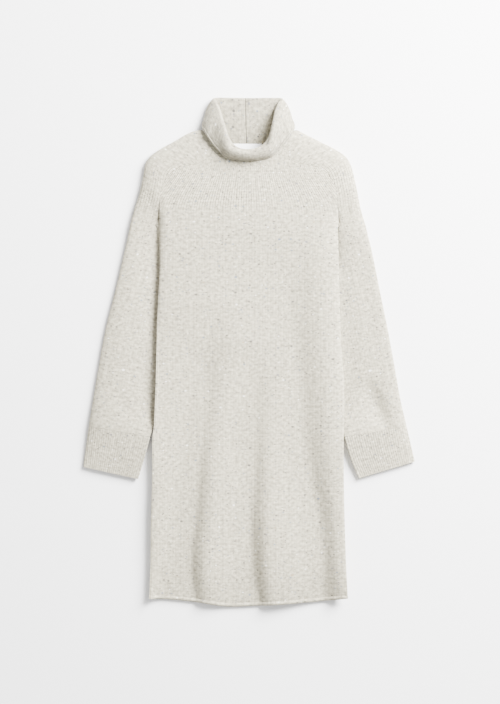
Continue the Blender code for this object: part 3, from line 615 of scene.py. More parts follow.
def vertex_normals_of_used(points, faces, used):
    """Normals where some points of the table belong to no face."""
    number = np.full(len(points), -1)
    number[used] = np.arange(len(used))
    normals = np.zeros_like(points)
    normals[used] = vertex_normals(points[used], number[faces])
    return normals


def seam_shift(points, inward, toward):
    """Half the seam's gap, square to the seam in the cloth, to the side that toward points to."""
    run = np.gradient(points, axis=0)
    across = unit(np.cross(run, inward))
    sign = np.sign(np.sum(across * toward, axis=1, keepdims=True))
    return across * sign * SEAM_GAP / 2


def directed_edges(faces):
    """Each face's edges in turn, as pairs of point numbers."""
    return np.stack([faces, np.roll(faces, -1, axis=1)], axis=-1).reshape(-1, 2)


def cloth(name, outer, inner, number, stitches, flip):
    """A closed wall of cloth from two lists of points, with number as the grid that joins them."""
    faces = grid_faces(number, flip)
    places = grid_faces(np.arange(number.size).reshape(number.shape), flip)
    edges, edge_places = directed_edges(faces), directed_edges(places)
    count = len(outer)
    codes = edges[:, 0] * count + edges[:, 1]
    back_codes = edges[:, 1] * count + edges[:, 0]
    open_edges = ~np.isin(back_codes, codes)
    a, b = edges[open_edges].T
    rims = np.stack([b, a, a + count, b + count], axis=1)
    place_a, place_b = edge_places[open_edges].T
    rim_places = np.stack([place_b, place_a, place_a, place_b], axis=1)
    polygons = np.concatenate([faces, faces[:, ::-1] + count, rims])
    corner_places = np.concatenate([places, places[:, ::-1], rim_places])
    used, polygons = np.unique(polygons, return_inverse=True)
    points = (np.concatenate([outer, inner])[used] - MIDDLE) * MM
    mesh = bpy.data.meshes.new(name)
    mesh.from_pydata(points.tolist(), [], polygons.reshape(-1, 4).tolist())
    layer = mesh.uv_layers.new(name="stitches")
    across_along = stitches.reshape(-1, 2)[corner_places.ravel()] / (WALE, COURSE)
    layer.data.foreach_set("uv", across_along.ravel())
    mesh.shade_smooth()
    mesh.set_sharp_from_angle(angle=math.radians(SHARP_ANGLE))
    made = bpy.data.objects.new(name, mesh)
    bpy.context.scene.collection.objects.link(made)
    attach(made, "root")
    return made


def flat_area(made):
    """The area of one side of a piece of cloth, in square metres."""
    return sum(face.area for face in made.data.polygons) / 2


# %% [markdown]
# ## Creases
# Cloth that has been folded and handled keeps soft creases. Each one here is a line between two
# points with a depth and a width, deepest in its middle and fading to its ends. No two are alike.

# %% Creases of the front, the back and the sleeves
FRONT_CREASES = (  # from x, y, to x, y, depth, half width
    (-180, -440, -158, -405, 1.6, 6),
    (-150, -462, -166, -430, 0.9, 5),
    (-60, -440, -48, -330, 0.9, 15),
    (62, -470, 52, -360, 1.0, 16),
    (112, -460, 100, -300, 0.9, 14),
    (178, -420, 168, -250, 0.8, 9),
    (-168, 122, 20, 116, 0.6, 9),
    (30, 118, 150, 108, 0.5, 8),
    (96, 250, 108, 60, 0.9, 14),
    (-120, 40, -60, -110, 0.6, 18),
    (-150, 300, -140, 220, 0.8, 9),
    (60, 330, 110, 290, 0.5, 10),
    (-90, 320, -40, 345, 0.5, 10),
)
SLEEVE_CREASES = {
    "left": (
        (-262, -60, -215, -135, 1.2, 10),
        (-292, -50, -300, -130, 0.8, 6),
        (-205, 20, -196, -90, 0.8, 9),
        (-240, 120, -220, 20, 0.7, 12),
        (-196, 330, -182, 250, 0.9, 9),
        (-120, 385, -165, 352, 0.6, 9),
    ),
    "right": (
        (222, -48, 272, -170, 6.5, 14),
        (212, -52, 258, -174, 3.0, 26),
        (214, -60, 236, -140, 1.0, 8),
        (232, 110, 226, 0, 0.8, 11),
        (198, 60, 196, -60, 0.7, 9),
        (190, 330, 186, 240, 0.9, 9),
        (118, 388, 160, 355, 0.6, 9),
    ),
}
BACK_CREASES = (
    (-150, -440, -90, -180, 0.9, 16),
    (40, -470, 10, -200, 1.1, 18),
    (130, -430, 90, -60, 0.7, 15),
    (-110, 60, 80, 96, 0.6, 10),
    (-60, 300, -10, 180, 0.6, 14),
)


def crease_depth(x, y, creases):
    """How deep the creases of a table are at points x and y."""
    total = np.zeros_like(x)
    for x0, y0, x1, y1, depth, width in creases:
        run = math.hypot(x1 - x0, y1 - y0)
        along_x, along_y = (x1 - x0) / run, (y1 - y0) / run
        share = ((x - x0) * along_x + (y - y0) * along_y) / run
        across = (x - x0) * along_y - (y - y0) * along_x
        fade = np.clip(1 - (2 * share - 1) ** 2, 0, 1)
        total += depth * fade * np.exp(-((across / width) ** 2))
    return total


print("creases on the front:", len(FRONT_CREASES))

# %% [markdown]
# ## Front and back
# The yoke's wales fan out a little from the neck, because the knitter narrows the piece there.
# The front stands over its loft, and the back lies on the floor. Both end in a rolled hem, the way
# plain knitting curls by itself.

# %% Front and back
FAN_START_Y = 262
FAN_SHARE = 0.3  # the wales are this much closer together at the neck
SEAM_DIP = 0.3  # the cloth draws in by this along its seams
SEAM_REACH = 3.5
SIDE_CLEAR = 12  # the panels' creases fade out this close to the sides


def seam_dip(points, seam):
    """How far each point is drawn in by the seam that it is near."""
    tree = kdtree.KDTree(len(seam))
    for index, point in enumerate(seam):
        tree.insert(point, index)
    tree.balance()
    gaps = np.array([tree.find(point)[2] for point in points])
    return SEAM_DIP * np.exp(-((gaps / SEAM_REACH) ** 2))


def body_panel(name, up, table, corner_share, neck_y, height):
    """Front (up 1) or back (up -1) as cloth. It gives the seam points for the next pieces too."""
    plan = panel(table, corner_share, neck_y)
    rows = len(plan)
    x, y = plan[..., 0].ravel(), plan[..., 1].ravel()
    outer = np.column_stack([x, y, height(x, y)])
    number = np.arange(rows * (COLUMNS + 1)).reshape(rows, COLUMNS + 1)
    faces = grid_faces(number, flip=up < 0)
    edges = panel_edges(rows)
    flat = {key: np.array([number[place] for place in places]) for key, places in edges.items()}
    creases = FRONT_CREASES if up > 0 else BACK_CREASES
    inner_part = np.clip(edge_distance(x, y) / SIDE_CLEAR, 0, 1)
    outer[:, 2] -= up * crease_depth(x, y, creases) * inner_part
    normals = vertex_normals(outer, faces)
    inward = -normals
    shift = np.zeros_like(outer)
    for key, numbers in flat.items():
        if not key.startswith("side"):
            inward[numbers] = (0, 0, -up)
    for side_name, side in SIDES:
        inward[flat["side " + side_name]] = (-side, 0, 0)
    middle = outer[number[rows // 2, COLUMNS // 2]]
    for key, numbers in flat.items():
        points = outer[numbers]
        if key.startswith("side"):
            shift[numbers] += (0, 0, up * SEAM_GAP / 2)
        else:
            square = np.tile((0.0, 0.0, -up), (len(numbers), 1))
            shift[numbers] += seam_shift(points, square, middle - points)
    outer = outer + shift
    inner = outer + inward * WALL
    roll = smooth(HEM_ROLL, HEM_FINE)[:, 0]
    for row, height_raised in enumerate(roll):
        raised = normals[number[row]] * height_raised
        raised[[0, -1], 2] = 0
        if up > 0:
            outer[number[row]] += raised
        else:
            outer[number[row], :2] += raised[:, :2]
    sewn = np.concatenate([flat["neck"], flat["raglan left"], flat["raglan right"]])
    dip = seam_dip(outer, outer[sewn])
    outer[:, 2] -= up * dip
    outer[:, 2] = np.maximum(outer[:, 2], 0)
    fan = 1 - FAN_SHARE * ease((y - FAN_START_Y) / (neck_y - FAN_START_Y))
    stitches = np.column_stack([x / fan, y])
    made = cloth(name, outer, inner, number, stitches, up < 0)
    return made, (outer - shift).reshape(rows, COLUMNS + 1, 3)


PANELS = {}
front, PANELS["front"] = body_panel(
    "front_cloth", 1, RAGLAN_FRONT, FRONT_CORNER, NECK_FRONT_Y, front_z
)
back, PANELS["back"] = body_panel(
    "back_cloth", -1, RAGLAN_BACK, BACK_CORNER, NECK_BACK_Y, back_z
)
print("front and back:", len(front.data.polygons), len(back.data.polygons), "faces")

# %% [markdown]
# ## Sleeves
# A raglan sleeve reaches up to the neck between the front and the back. Above the armpit its
# sections are open along both seams, and below it they close to a tube. The inner edge lies under
# the body's side.

# %% Sleeves
NECK_LEVEL = 0.94, -0.34  # the way into the wall at its fold: towards the middle, and in y


def neck_inward(section, side):
    """Directions into the wall along a sleeve's neck edge: down, inward at its fold, then up."""
    middle = len(section) // 2
    angle = np.concatenate(
        [
            np.linspace(-math.pi / 2, 0, middle + 1),
            np.linspace(0, math.pi / 2, len(section) - middle)[1:],
        ]
    )
    level = np.array((-side * NECK_LEVEL[0], NECK_LEVEL[1], 0))
    return np.cos(angle)[:, None] * level + np.sin(angle)[:, None] * np.array((0, 0, 1.0))


def run_along(points):
    """Lengths run along each row of a grid of points."""
    steps = np.linalg.norm(np.diff(points, axis=1), axis=2)
    return np.concatenate([np.zeros((len(points), 1)), np.cumsum(steps, axis=1)], axis=1)


TUCK_DEPTH = {"left": 7.5, "right": 7}  # how much lower the sleeve lies beside the body
TUCK_REACH = {"left": 50, "right": 85}  # how far across it that reaches
TUCK_START = {"left": -12, "right": 2}  # its first row, counted from the armpit
TUCK_FADE = 16, 8, 12  # rows or columns over which it fades: above, across and at the cuff
TUCK_FLOOR = 5.6  # it presses nothing lower than this
CREASE_SPREAD = 1.6  # how far towards the sleeve's edges its creases keep their depth
SEAM_SIDE = 0.35  # how the seam's gap leans along the raglan
NECK_SIDE = 0.3  # and along the neck


def sleeve(name, side_name, side, front_points, back_points):
    """A sleeve as cloth, with its neck edge for the collar."""
    sections = sleeve_sections(side, front_points, back_points)
    rows, columns = sections.shape[:2]
    number = np.arange(rows * columns).reshape(rows, columns)
    number[RAGLAN_ROWS:, -1] = number[RAGLAN_ROWS:, 0]
    outer = sections.reshape(-1, 3).copy()
    over = np.tile(np.arange(columns) < SLEEVE_COLUMNS, rows)
    gap = np.linalg.norm(outer[:, :2] - np.repeat(sections[:, 0, :2], columns, axis=0), axis=1)
    first = RAGLAN_ROWS + TUCK_START[side_name]
    row, column = np.arange(rows), np.arange(columns)
    below = np.clip(np.repeat((row - first) / TUCK_FADE[0], columns), 0, 1)
    beside = np.tile(np.clip((SLEEVE_COLUMNS - column) / TUCK_FADE[1], 0, 1), rows)
    above = np.clip(np.repeat(rows - 1 - row, columns) / TUCK_FADE[2], 0, 1)
    tuck = TUCK_DEPTH[side_name] * np.exp(-((gap / TUCK_REACH[side_name]) ** 2))
    drop = tuck * ease(beside) * below * ease(above)
    pressed = np.maximum(outer[:, 2] - drop, np.minimum(outer[:, 2], TUCK_FLOOR))
    outer[:, 2] = np.where(over, pressed, outer[:, 2])
    depth = crease_depth(outer[:, 0], outer[:, 1], SLEEVE_CREASES[side_name])
    half = SLEEVE_COLUMNS / 2
    share = np.abs(np.tile(np.arange(columns), rows) - half) / half
    outer[:, 2] -= over * depth * np.clip(CREASE_SPREAD * (1 - share), 0, 1)
    faces = grid_faces(number, flip=side > 0)
    used = np.unique(faces)
    inward = np.zeros_like(outer)
    normals = vertex_normals_of_used(outer, faces, used)
    inward[used] = -normals[used]
    seam_rows = np.arange(RAGLAN_ROWS)
    inward[number[seam_rows, 0]] = (0, 0, -1)
    inward[number[seam_rows, -1]] = (0, 0, 1)
    armpit = number[RAGLAN_ROWS, 0]
    inward[armpit] = (side, 0, 0)
    neck = neck_inward(sections[0], side)
    inward[number[0]] = neck
    shift = np.zeros_like(outer)
    for column, facing in ((0, -1), (-1, 1)):
        numbers = number[: RAGLAN_ROWS + 1, column]
        square = np.tile((0.0, 0.0, facing), (len(numbers), 1))
        moved = seam_shift(outer[numbers], square, np.array((side, SEAM_SIDE, 0)))
        shift[numbers[:-1]] += moved[:-1]
    shift[armpit] += (side * SEAM_GAP, 0, 0)
    shift[number[0]] += seam_shift(sections[0], neck, np.array((side * NECK_SIDE, -1, 0)))
    last = number[-1]
    heading = unit((sections[-2] - sections[-1]).mean(axis=0))
    shift[last] += heading * SEAM_GAP / 2
    outer = outer + shift
    inner = outer + inward * WALL
    sewn = np.concatenate([number[: RAGLAN_ROWS + 1, 0], number[-1], number[0]])
    drawn = seam_dip(outer, outer[sewn])
    outer[used] -= normals[used] * drawn[used, None]
    outer[:, 2] = np.maximum(outer[:, 2], 0)
    across = run_along(sections)
    across = across - across[:, SLEEVE_COLUMNS : SLEEVE_COLUMNS + 1]
    centre = sections[:, : SLEEVE_COLUMNS + 1].mean(axis=1)
    down = np.concatenate([[0], np.cumsum(np.linalg.norm(np.diff(centre, axis=0), axis=1))])
    stitches = np.stack([across, np.tile(-down[:, None], (1, columns))], axis=-1)
    return cloth(name, outer, inner, number, stitches, side > 0), sections


SLEEVES, NECKS = {}, {}
for side_name, side in SIDES:
    front_xy = raglan(RAGLAN_FRONT, side, FRONT_CORNER)
    front_points = np.column_stack([front_xy, front_z(front_xy[:, 0], front_xy[:, 1])])
    back_xy = raglan(RAGLAN_BACK, side, BACK_CORNER)
    back_points = np.column_stack([back_xy, back_z(back_xy[:, 0], back_xy[:, 1])])
    name = "sleeve_" + side_name
    SLEEVES[side_name], sections = sleeve(
        name + "_cloth", side_name, side, front_points, back_points
    )
    NECKS[side] = sections[0], neck_inward(sections[0], side)
print("sleeves:", [len(made.data.polygons) for made in SLEEVES.values()], "faces")

# %% [markdown]
# ## Cuffs
# The cuffs are knitted in a rib, which stands out in soft ridges along the sleeve.

# %% Cuffs
CUFF_STEPS = 10  # points round each rib
CUFF_ROWS = 40
CUFF_OPENING_Z = 8  # the cuff lies this low at its opening
CUFF_INNER_LIFT = 15, 8  # height of its inner edge, at the sleeve and at its opening
RIB_HEIGHT = 0.3
RIB_FADE = (0.5, 3)  # the ribs grow to their full height between these heights over the floor


def cuff(name, side):
    """A ribbed cuff as cloth."""
    columns = CUFF_RIBS * CUFF_STEPS
    shares = (1 - np.cos(np.linspace(0, math.pi, SECTION_STEPS))) / 2
    table = np.array(CUFF, float)
    ends = table[:, 0:4] if side < 0 else table[:, 4:8]
    at = np.linspace(0, len(ends) - 1, CUFF_ROWS)
    rows = smooth(np.column_stack([np.arange(len(ends)), ends]), at)
    plain = []
    tops = np.linspace(CUFF_TOP_Z, CUFF_OPENING_Z, CUFF_ROWS)
    inners = np.linspace(*CUFF_INNER_LIFT, CUFF_ROWS)
    for row, inner_z, top_z in zip(rows, inners, tops):
        section = tube_section(row[:2], row[2:], CUFF_EDGE_Z, inner_z, top_z, shares, CUFF_REACH)
        steps = np.linalg.norm(np.diff(section, axis=0), axis=1)
        run = np.concatenate([[0], np.cumsum(steps)])
        at = np.arange(columns) * run[-1] / columns
        plain.append(np.column_stack([np.interp(at, run, section[:, axis]) for axis in range(3)]))
    plain = np.array(plain)
    heading = unit((plain[-1] - plain[0]).mean(axis=0))
    plain[0] += heading * SEAM_GAP / 2
    number = np.arange(CUFF_ROWS * columns).reshape(CUFF_ROWS, columns)
    ring = np.concatenate([number, number[:, :1]], axis=1)
    faces = grid_faces(ring, flip=side > 0)
    points = plain.reshape(-1, 3)
    normals = vertex_normals(points, faces)
    inner = points - normals * WALL
    rib = (1 - np.cos(np.arange(columns) * 2 * math.pi / CUFF_STEPS)) / 2
    shown = ease((points[:, 2] - RIB_FADE[0]) / (RIB_FADE[1] - RIB_FADE[0]))
    outer = points + normals * (np.tile(rib, CUFF_ROWS) * RIB_HEIGHT * shown)[:, None]
    outer[:, 2] = np.maximum(outer[:, 2], 0)
    rib_number = np.arange(columns + 1) / CUFF_STEPS
    down = np.linspace(0, np.linalg.norm((plain[-1] - plain[0]).mean(axis=0)), CUFF_ROWS)
    stitches = np.stack(np.meshgrid(rib_number * WALE, -down), axis=-1)
    return cloth(name, outer, inner, ring, stitches, side > 0)


CUFFS = {
    side_name: cuff("cuff_" + side_name + "_cloth", side)
    for side_name, side in SIDES
}
print("cuffs:", [len(made.data.polygons) for made in CUFFS.values()], "faces")

# %% [markdown]
# ## Collar
# The turtleneck is one tube. It stands up from the neck seam, turns over and falls outwards, so
# the wrong side of the knitting shows inside the mouth.

# %% Collar
COLLAR_PLACES = {}  # where the collar's columns and rows lie in the knitting
LIP_FINE = np.array([8, 6.6, 5.6, 4.8, 4, 3.2, 2.4, 1.6, 0.8, 0])
LIP_SHARE = 0.4  # the lip is raised by this share of its table
LIP_CLEAR = 3  # and only where the cloth is higher than this
LEAVE_SHARE = 0.35  # the stand leaves the seam for this share of its reach at most


def even_out(rings):
    """Opens out, in place, the points that bunch up at the corners of each ring."""
    for _ in range(STAND_RELAXING):
        rings[:] = (np.roll(rings, 1, axis=1) + 2 * rings + np.roll(rings, -1, axis=1)) / 4


def bezier(start, first, second, end):
    """Fine points along a cubic curve from each start to each end."""
    t = np.linspace(0, 1, CURVE_STEPS + 1)[:, None, None]
    return (
        start * (1 - t) ** 3
        + first * 3 * (1 - t) ** 2 * t
        + second * 3 * (1 - t) * t**2
        + end * t**3
    )


def curve_lengths(curves):
    """Length run at each point of a sheaf of curves."""
    steps = np.linalg.norm(np.diff(curves, axis=0), axis=2)
    return np.concatenate([np.zeros((1, steps.shape[1])), np.cumsum(steps, axis=0)])


def points_at(curves, distances):
    """Rows of points, one on each curve, at the given distances along it."""
    runs = curve_lengths(curves)
    rows = []
    for row in distances:
        points = [
            [np.interp(at, runs[:, column], curves[:, column, axis]) for axis in range(3)]
            for column, at in enumerate(row)
        ]
        rows.append(np.array(points))
    return rows


def along_axis(vectors, axes):
    """How far each vector runs along its own axis."""
    return np.sum(vectors * axes, axis=-1, keepdims=True)


def collar(neck, inward):
    """The turtleneck: up the stand, over the fold and down the fall, one closed tube."""
    columns = len(neck)
    table = np.array(COLLAR, float)
    closed_rim = np.concatenate([table, table[:1]])[:, 1:4]
    steps = np.linalg.norm(np.diff(closed_rim, axis=0), axis=1)
    length = steps.sum()
    at = np.concatenate([[0], np.cumsum(steps)])
    quarters = np.arange(columns) * 4 / columns
    places = np.interp(quarters, np.append(table[:, 0], 4), at)
    table[:, 0] = at[:-1]
    turn = np.zeros(table.shape[1])
    turn[0] = length
    guide = smooth(np.concatenate([table - turn, table, table + turn]), places)
    rim, edge, outward, radius = guide[:, 0:3], guide[:, 3:6], unit(guide[:, 6:9]), guide[:, 9:10]
    loop = np.concatenate([neck[-1:], neck, neck[:1]])
    run = (loop[2:] - loop[:-2]) / 2
    away = unit(np.cross(run, inward))
    away *= np.sign(np.sum(away * (rim - neck), axis=1, keepdims=True))
    start = neck + inward * WALL / 2 + away * SEAM_GAP / 2
    along_rim = unit(np.roll(rim, -1, axis=0) - np.roll(rim, 1, axis=0))
    outward = unit(outward - along_rim * np.sum(outward * along_rim, axis=1, keepdims=True))
    up = np.cross(along_rim, outward)
    up *= np.sign(np.sum(up * (rim - (start + edge) / 2), axis=1, keepdims=True))
    centre = rim - up * radius
    stand_end = centre - outward * radius
    reach = np.linalg.norm(stand_end - start, axis=1, keepdims=True)
    low = ease((LOW_NECK - start[:, 2:3]) / LOW_NECK)
    lift = unit((0, 0, 1) * low - outward * (1 - low)) * STAND_LIFT
    leave = start + away * np.minimum(STAND_LEAVE, reach * LEAVE_SHARE) + lift
    steep = FOLD_DROP / np.maximum(np.abs(up[:, 2:3]), 0.01)
    pull = up * np.minimum(FOLD_PULL * reach, steep)
    stand = bezier(start, leave, stand_end - pull, stand_end)
    down = np.arctan2(-along_axis(edge - centre, up), along_axis(edge - centre, outward))
    down = np.clip(down / (math.pi / 2), 0, 1)  # 0 where the edge is level with the roll, 1 below
    last = math.pi / 2 * (1 + down * (ROLL_OVER + (1 - ROLL_OVER) * down**3))
    turns = np.linspace(0, 1, FOLD_ROWS + 1)[1:, None, None] * last
    fold = centre - outward * radius * np.cos(turns) + up * radius * np.sin(turns)
    heading = outward * np.sin(last) + up * np.cos(last)
    reach = np.linalg.norm(edge - fold[-1], axis=1, keepdims=True)
    held = np.minimum(FOLD_PULL * reach, FALL_REACH)
    fall = bezier(fold[-1], fold[-1] + heading * held, edge + up * np.minimum(held, steep), edge)
    stand_run, fall_run = curve_lengths(stand), curve_lengths(fall)
    layers = points_at(stand, np.linspace(0, 1, STAND_ROWS + 1)[:, None] * stand_run[-1])
    layers += list(fold)
    lip = LIP_FINE[:, None]
    shares = np.linspace(0, 1, FALL_ROWS + 1)[1:-1, None]
    layers += points_at(fall, shares * (fall_run[-1] - lip[0]))
    layers += points_at(fall, fall_run[-1] - lip)
    middle = np.array(layers)
    even_out(middle[1:STAND_ROWS])
    rows = len(middle)
    number = np.arange(rows * columns).reshape(rows, columns)
    ring = np.concatenate([number, number[:, :1]], axis=1)
    faces = grid_faces(ring)
    points = middle.reshape(-1, 3)
    normals = vertex_normals(points, faces)
    normals[number[0]] = -inward
    outer = points + normals * WALL / 2
    inner = points - normals * WALL / 2
    even_out(inner.reshape(rows, columns, 3)[1 : STAND_ROWS + 1])
    raises = smooth(np.array(FALL_LIP)[::-1], LIP_FINE)[:, 0] * LIP_SHARE
    for step, raised in enumerate(raises):
        row = number[rows - len(LIP_FINE) + step]
        clear = (inner[row, 2:3] > LIP_CLEAR).astype(float)
        inner[row] -= normals[row] * raised * clear
    outer[:, 2] = np.maximum(outer[:, 2], 0)
    inner[:, 2] = np.maximum(inner[:, 2], 0)
    lengths = run_along(middle.transpose(1, 0, 2)).mean(axis=0)
    round_rim = np.linalg.norm(np.diff(np.concatenate([rim, rim[:1]]), axis=0), axis=1)
    along_ring = np.concatenate([[0], np.cumsum(round_rim)])
    COLLAR_PLACES.update(ring=along_ring[:-1] / WALE, down=lengths / COURSE, rim=rim)
    stitches = np.stack(np.meshgrid(along_ring, lengths), axis=-1)
    return cloth("collar_cloth", outer, inner, ring, stitches, False)


front_neck = PANELS["front"][-1, SHOULDER_ROWS:-SHOULDER_ROWS]
back_neck = PANELS["back"][-1, SHOULDER_ROWS:-SHOULDER_ROWS][::-1]
down = np.tile((0.0, 0.0, -1.0), (len(front_neck), 1))
rise = np.tile((0.0, 0.0, 1.0), (len(back_neck), 1))
right, left = NECKS[1], NECKS[-1]
neck = np.concatenate([front_neck[:-1], right[0][:-1], back_neck[:-1], left[0][::-1][:-1]])
inward = np.concatenate([down[:-1], right[1][:-1], rise[:-1], left[1][::-1][:-1]])
collar_cloth = collar(neck, inward)
rim = COLLAR_PLACES["rim"]
BACK_SEAM_X = -7  # the collar's seam crosses the rim here
BACK_RIM_Y = 470  # and only the rim's back lies above this
at_back = rim[:, 1] > BACK_RIM_Y
off_seam = np.where(at_back, np.abs(rim[:, 0] - BACK_SEAM_X), np.inf)
back_seam = COLLAR_PLACES["ring"][np.argmin(off_seam)]
fold_line = COLLAR_PLACES["down"][STAND_ROWS]
fall_end = COLLAR_PLACES["down"][-1]
print("collar:", len(collar_cloth.data.polygons), "faces")

# %% [markdown]
# ## Label
# A small woven label is sewn inside the back of the neck. It is left bare.

# %% Label
LABEL_POINTS = 19, 9  # across it and down it


def label():
    """A small woven label, lying on the inside of the back just below the neck seam."""
    width, height = LABEL_SIZE
    x = LABEL_X + np.linspace(-width / 2, width / 2, LABEL_POINTS[0])
    y = NECK_BACK_Y - LABEL_DROP - np.linspace(height, 0, LABEL_POINTS[1])
    z = WALL + SEAM_GAP
    points = np.array([(across, up, z) for up in y for across in x])
    number = np.arange(len(points)).reshape(len(y), len(x))
    raised = points + (0, 0, LABEL_WALL)
    stitches = points[:, :2].reshape(len(y), len(x), 2)
    return cloth("label_cloth", raised, points, number, stitches, False)


label_cloth = label()
print("label:", len(label_cloth.data.polygons), "faces")

# %% [markdown]
# ## Wool
# The yarn is a pale oatmeal wool, spun from fibres of several shades, with dark and pale neps.
# The stitches, the yarn's streaks and the neps all follow the stitch coordinates. Fine fibres
# follow the object itself. Plain knitting shows two slanting legs for each stitch. They are drawn
# as a bump, with painted shade darkening their grooves, because modelled stitches would take
# millions of faces.

# %% Node helpers
def feed(tree, socket, value):
    """Links a socket to an input, or sets a number or colour on it."""
    if isinstance(value, bpy.types.NodeSocket):
        tree.links.new(value, socket)
    else:
        socket.default_value = value


def calc(tree, operation, *values):
    """One step of arithmetic on sockets or numbers."""
    made = tree.nodes.new("ShaderNodeMath")
    made.operation = operation
    for socket, value in zip(made.inputs, values):
        feed(tree, socket, value)
    return made.outputs[0]


def times(tree, first, second):
    """One value times another."""
    return calc(tree, "MULTIPLY", first, second)


def scaled(tree, value, factor, offset):
    """The value times a factor, plus an offset."""
    return calc(tree, "MULTIPLY_ADD", value, factor, offset)


def rest_of(tree, share):
    """What is left of 1."""
    return calc(tree, "SUBTRACT", 1.0, share)


def soft_step(tree, value, low, high):
    """0 below low, 1 above high and soft between."""
    made = tree.nodes.new("ShaderNodeMapRange")
    made.interpolation_type = "SMOOTHSTEP"
    feed(tree, made.inputs["Value"], value)
    made.inputs["From Min"].default_value = low
    made.inputs["From Max"].default_value = high
    return made.outputs["Result"]


def mixed(tree, share, first, second, how="MIX"):
    """Two colours mixed by a share."""
    made = tree.nodes.new("ShaderNodeMix")
    made.data_type = "RGBA"
    made.blend_type = how
    feed(tree, made.inputs[0], share)
    feed(tree, made.inputs[6], first)
    feed(tree, made.inputs[7], second)
    return made.outputs[2]


def vector(tree, x, y, z=0.0):
    """Three sockets or numbers as one vector."""
    made = tree.nodes.new("ShaderNodeCombineXYZ")
    for socket, value in zip(made.inputs, (x, y, z)):
        feed(tree, socket, value)
    return made.outputs[0]


def in_cells(tree, across, along, to_wale, to_course):
    """A place in the knitting, counted in this many cells to a wale and to a course."""
    return vector(tree, times(tree, across, to_wale), times(tree, along, to_course))


def noise(tree, place, scale, detail=2.0):
    """A smooth random value at a place."""
    made = tree.nodes.new("ShaderNodeTexNoise")
    feed(tree, made.inputs["Vector"], place)
    made.inputs["Scale"].default_value = scale
    made.inputs["Detail"].default_value = detail
    return made.outputs[0]


print("node helpers ready")

# %% Neps and yarn
FLECKS = (  # colours of the neps, each from this share of them on
    (0.00, (0.075, 0.068, 0.06, 1)),
    (0.42, (0.15, 0.145, 0.145, 1)),
    (0.70, (0.13, 0.16, 0.20, 1)),
    (0.86, (0.30, 0.24, 0.16, 1)),
    (0.93, (0.80, 0.78, 0.72, 1)),
)
FLECK_LAYERS = (  # cells for each wale and course, share of them that hold a nep, its size
    ((0.33, 0.30), 0.46, 0.14),
    ((0.80, 0.80), 0.13, 0.26),
    ((0.19, 0.17), 0.22, 0.11),
)
NEP_RANGE = 0.9, 0.4  # a nep's radius: its range and its least, in parts of the layer's size
NEP_EDGE = 0.55  # it is solid out to this share of its radius
NEP_STRENGTH = 0.85
YARNS = (0.41, 0.372, 0.272, 1), (0.39, 0.362, 0.276, 1)  # the yarn's two shades
YARN_SCALE = 0.6
SURFACE = {
    "Roughness": 0.95,
    "Specular IOR Level": 0.15,
    "Sheen Weight": 0.2,
    "Sheen Roughness": 0.6,
    "Sheen Tint": (1, 0.96, 0.88, 1),
}
print("colours of neps:", len(FLECKS), "in", len(FLECK_LAYERS), "layers")

# %% Wool material
SLANT = 0.6  # a stitch's legs climb by this share of a course from its middle to its edges
ROW_ROUNDING, LEG_ROUNDING = 0.5, 0.6  # powers that flatten the tops of rows and legs
LEG_HEIGHT = 0.45, 0.25  # what the row adds to a leg's height, and what it has anyway
MIDDLE_HEIGHT = 0.3  # the stitch's middle stands up by this
MEAN_HEIGHT = 0.6  # cloth of this height keeps its tone, and grooves below it are painted darker as shade
STITCH_TONE = 0.16, 0.92  # each of these tones: its range and its least
STREAK_TONE = 0.5, 0.75
MOTTLE_TONE = 1.4, 0.3
SLOW_TONE = 0.10, 0.95
FIBRE_TONE = 0.3, 0.85
STREAK_CELLS = 0.34, 0.9  # noise cells to a wale and to a course
MOTTLE_CELLS = 0.75, 0.62
SLOW_SCALE, WANDER_SCALE, FIBRE_SCALE = 9.0, 22.0, 1400.0  # cells to a metre
FIBRE_RELIEF = 0.35
WANDER = 0.6, 0.4  # the painted shade in the grooves wanders: its range and its least
BASE_TONE = 0.92
LINE_END = 0.6  # a sunk line fades at its ends over this much
LINE_RELIEF = 4.0  # and is this many stitch heights deep where its depth is 1
YOKE_BAND = (0.25, 0.3, 0.335, 0.365)  # y in metres: here the grooves get more painted shade, so the wales show more, fading at both ends


def stitch_height(tree, across, along):
    """The relief of plain knitting, from 0 in a groove to 1 on top of a leg."""
    chevron = calc(tree, "ABSOLUTE", scaled(tree, calc(tree, "FRACT", across), 2.0, -1.0))
    row = calc(tree, "FRACT", scaled(tree, chevron, -SLANT, along))
    over = calc(tree, "POWER", calc(tree, "SINE", times(tree, row, math.pi)), ROW_ROUNDING)
    leg = calc(tree, "ABSOLUTE", calc(tree, "SINE", times(tree, across, 2 * math.pi)))
    leg = calc(tree, "POWER", leg, LEG_ROUNDING)
    middle = scaled(tree, chevron, -MIDDLE_HEIGHT, MIDDLE_HEIGHT)
    legs = times(tree, leg, scaled(tree, over, *LEG_HEIGHT))
    return calc(tree, "ADD", legs, middle)


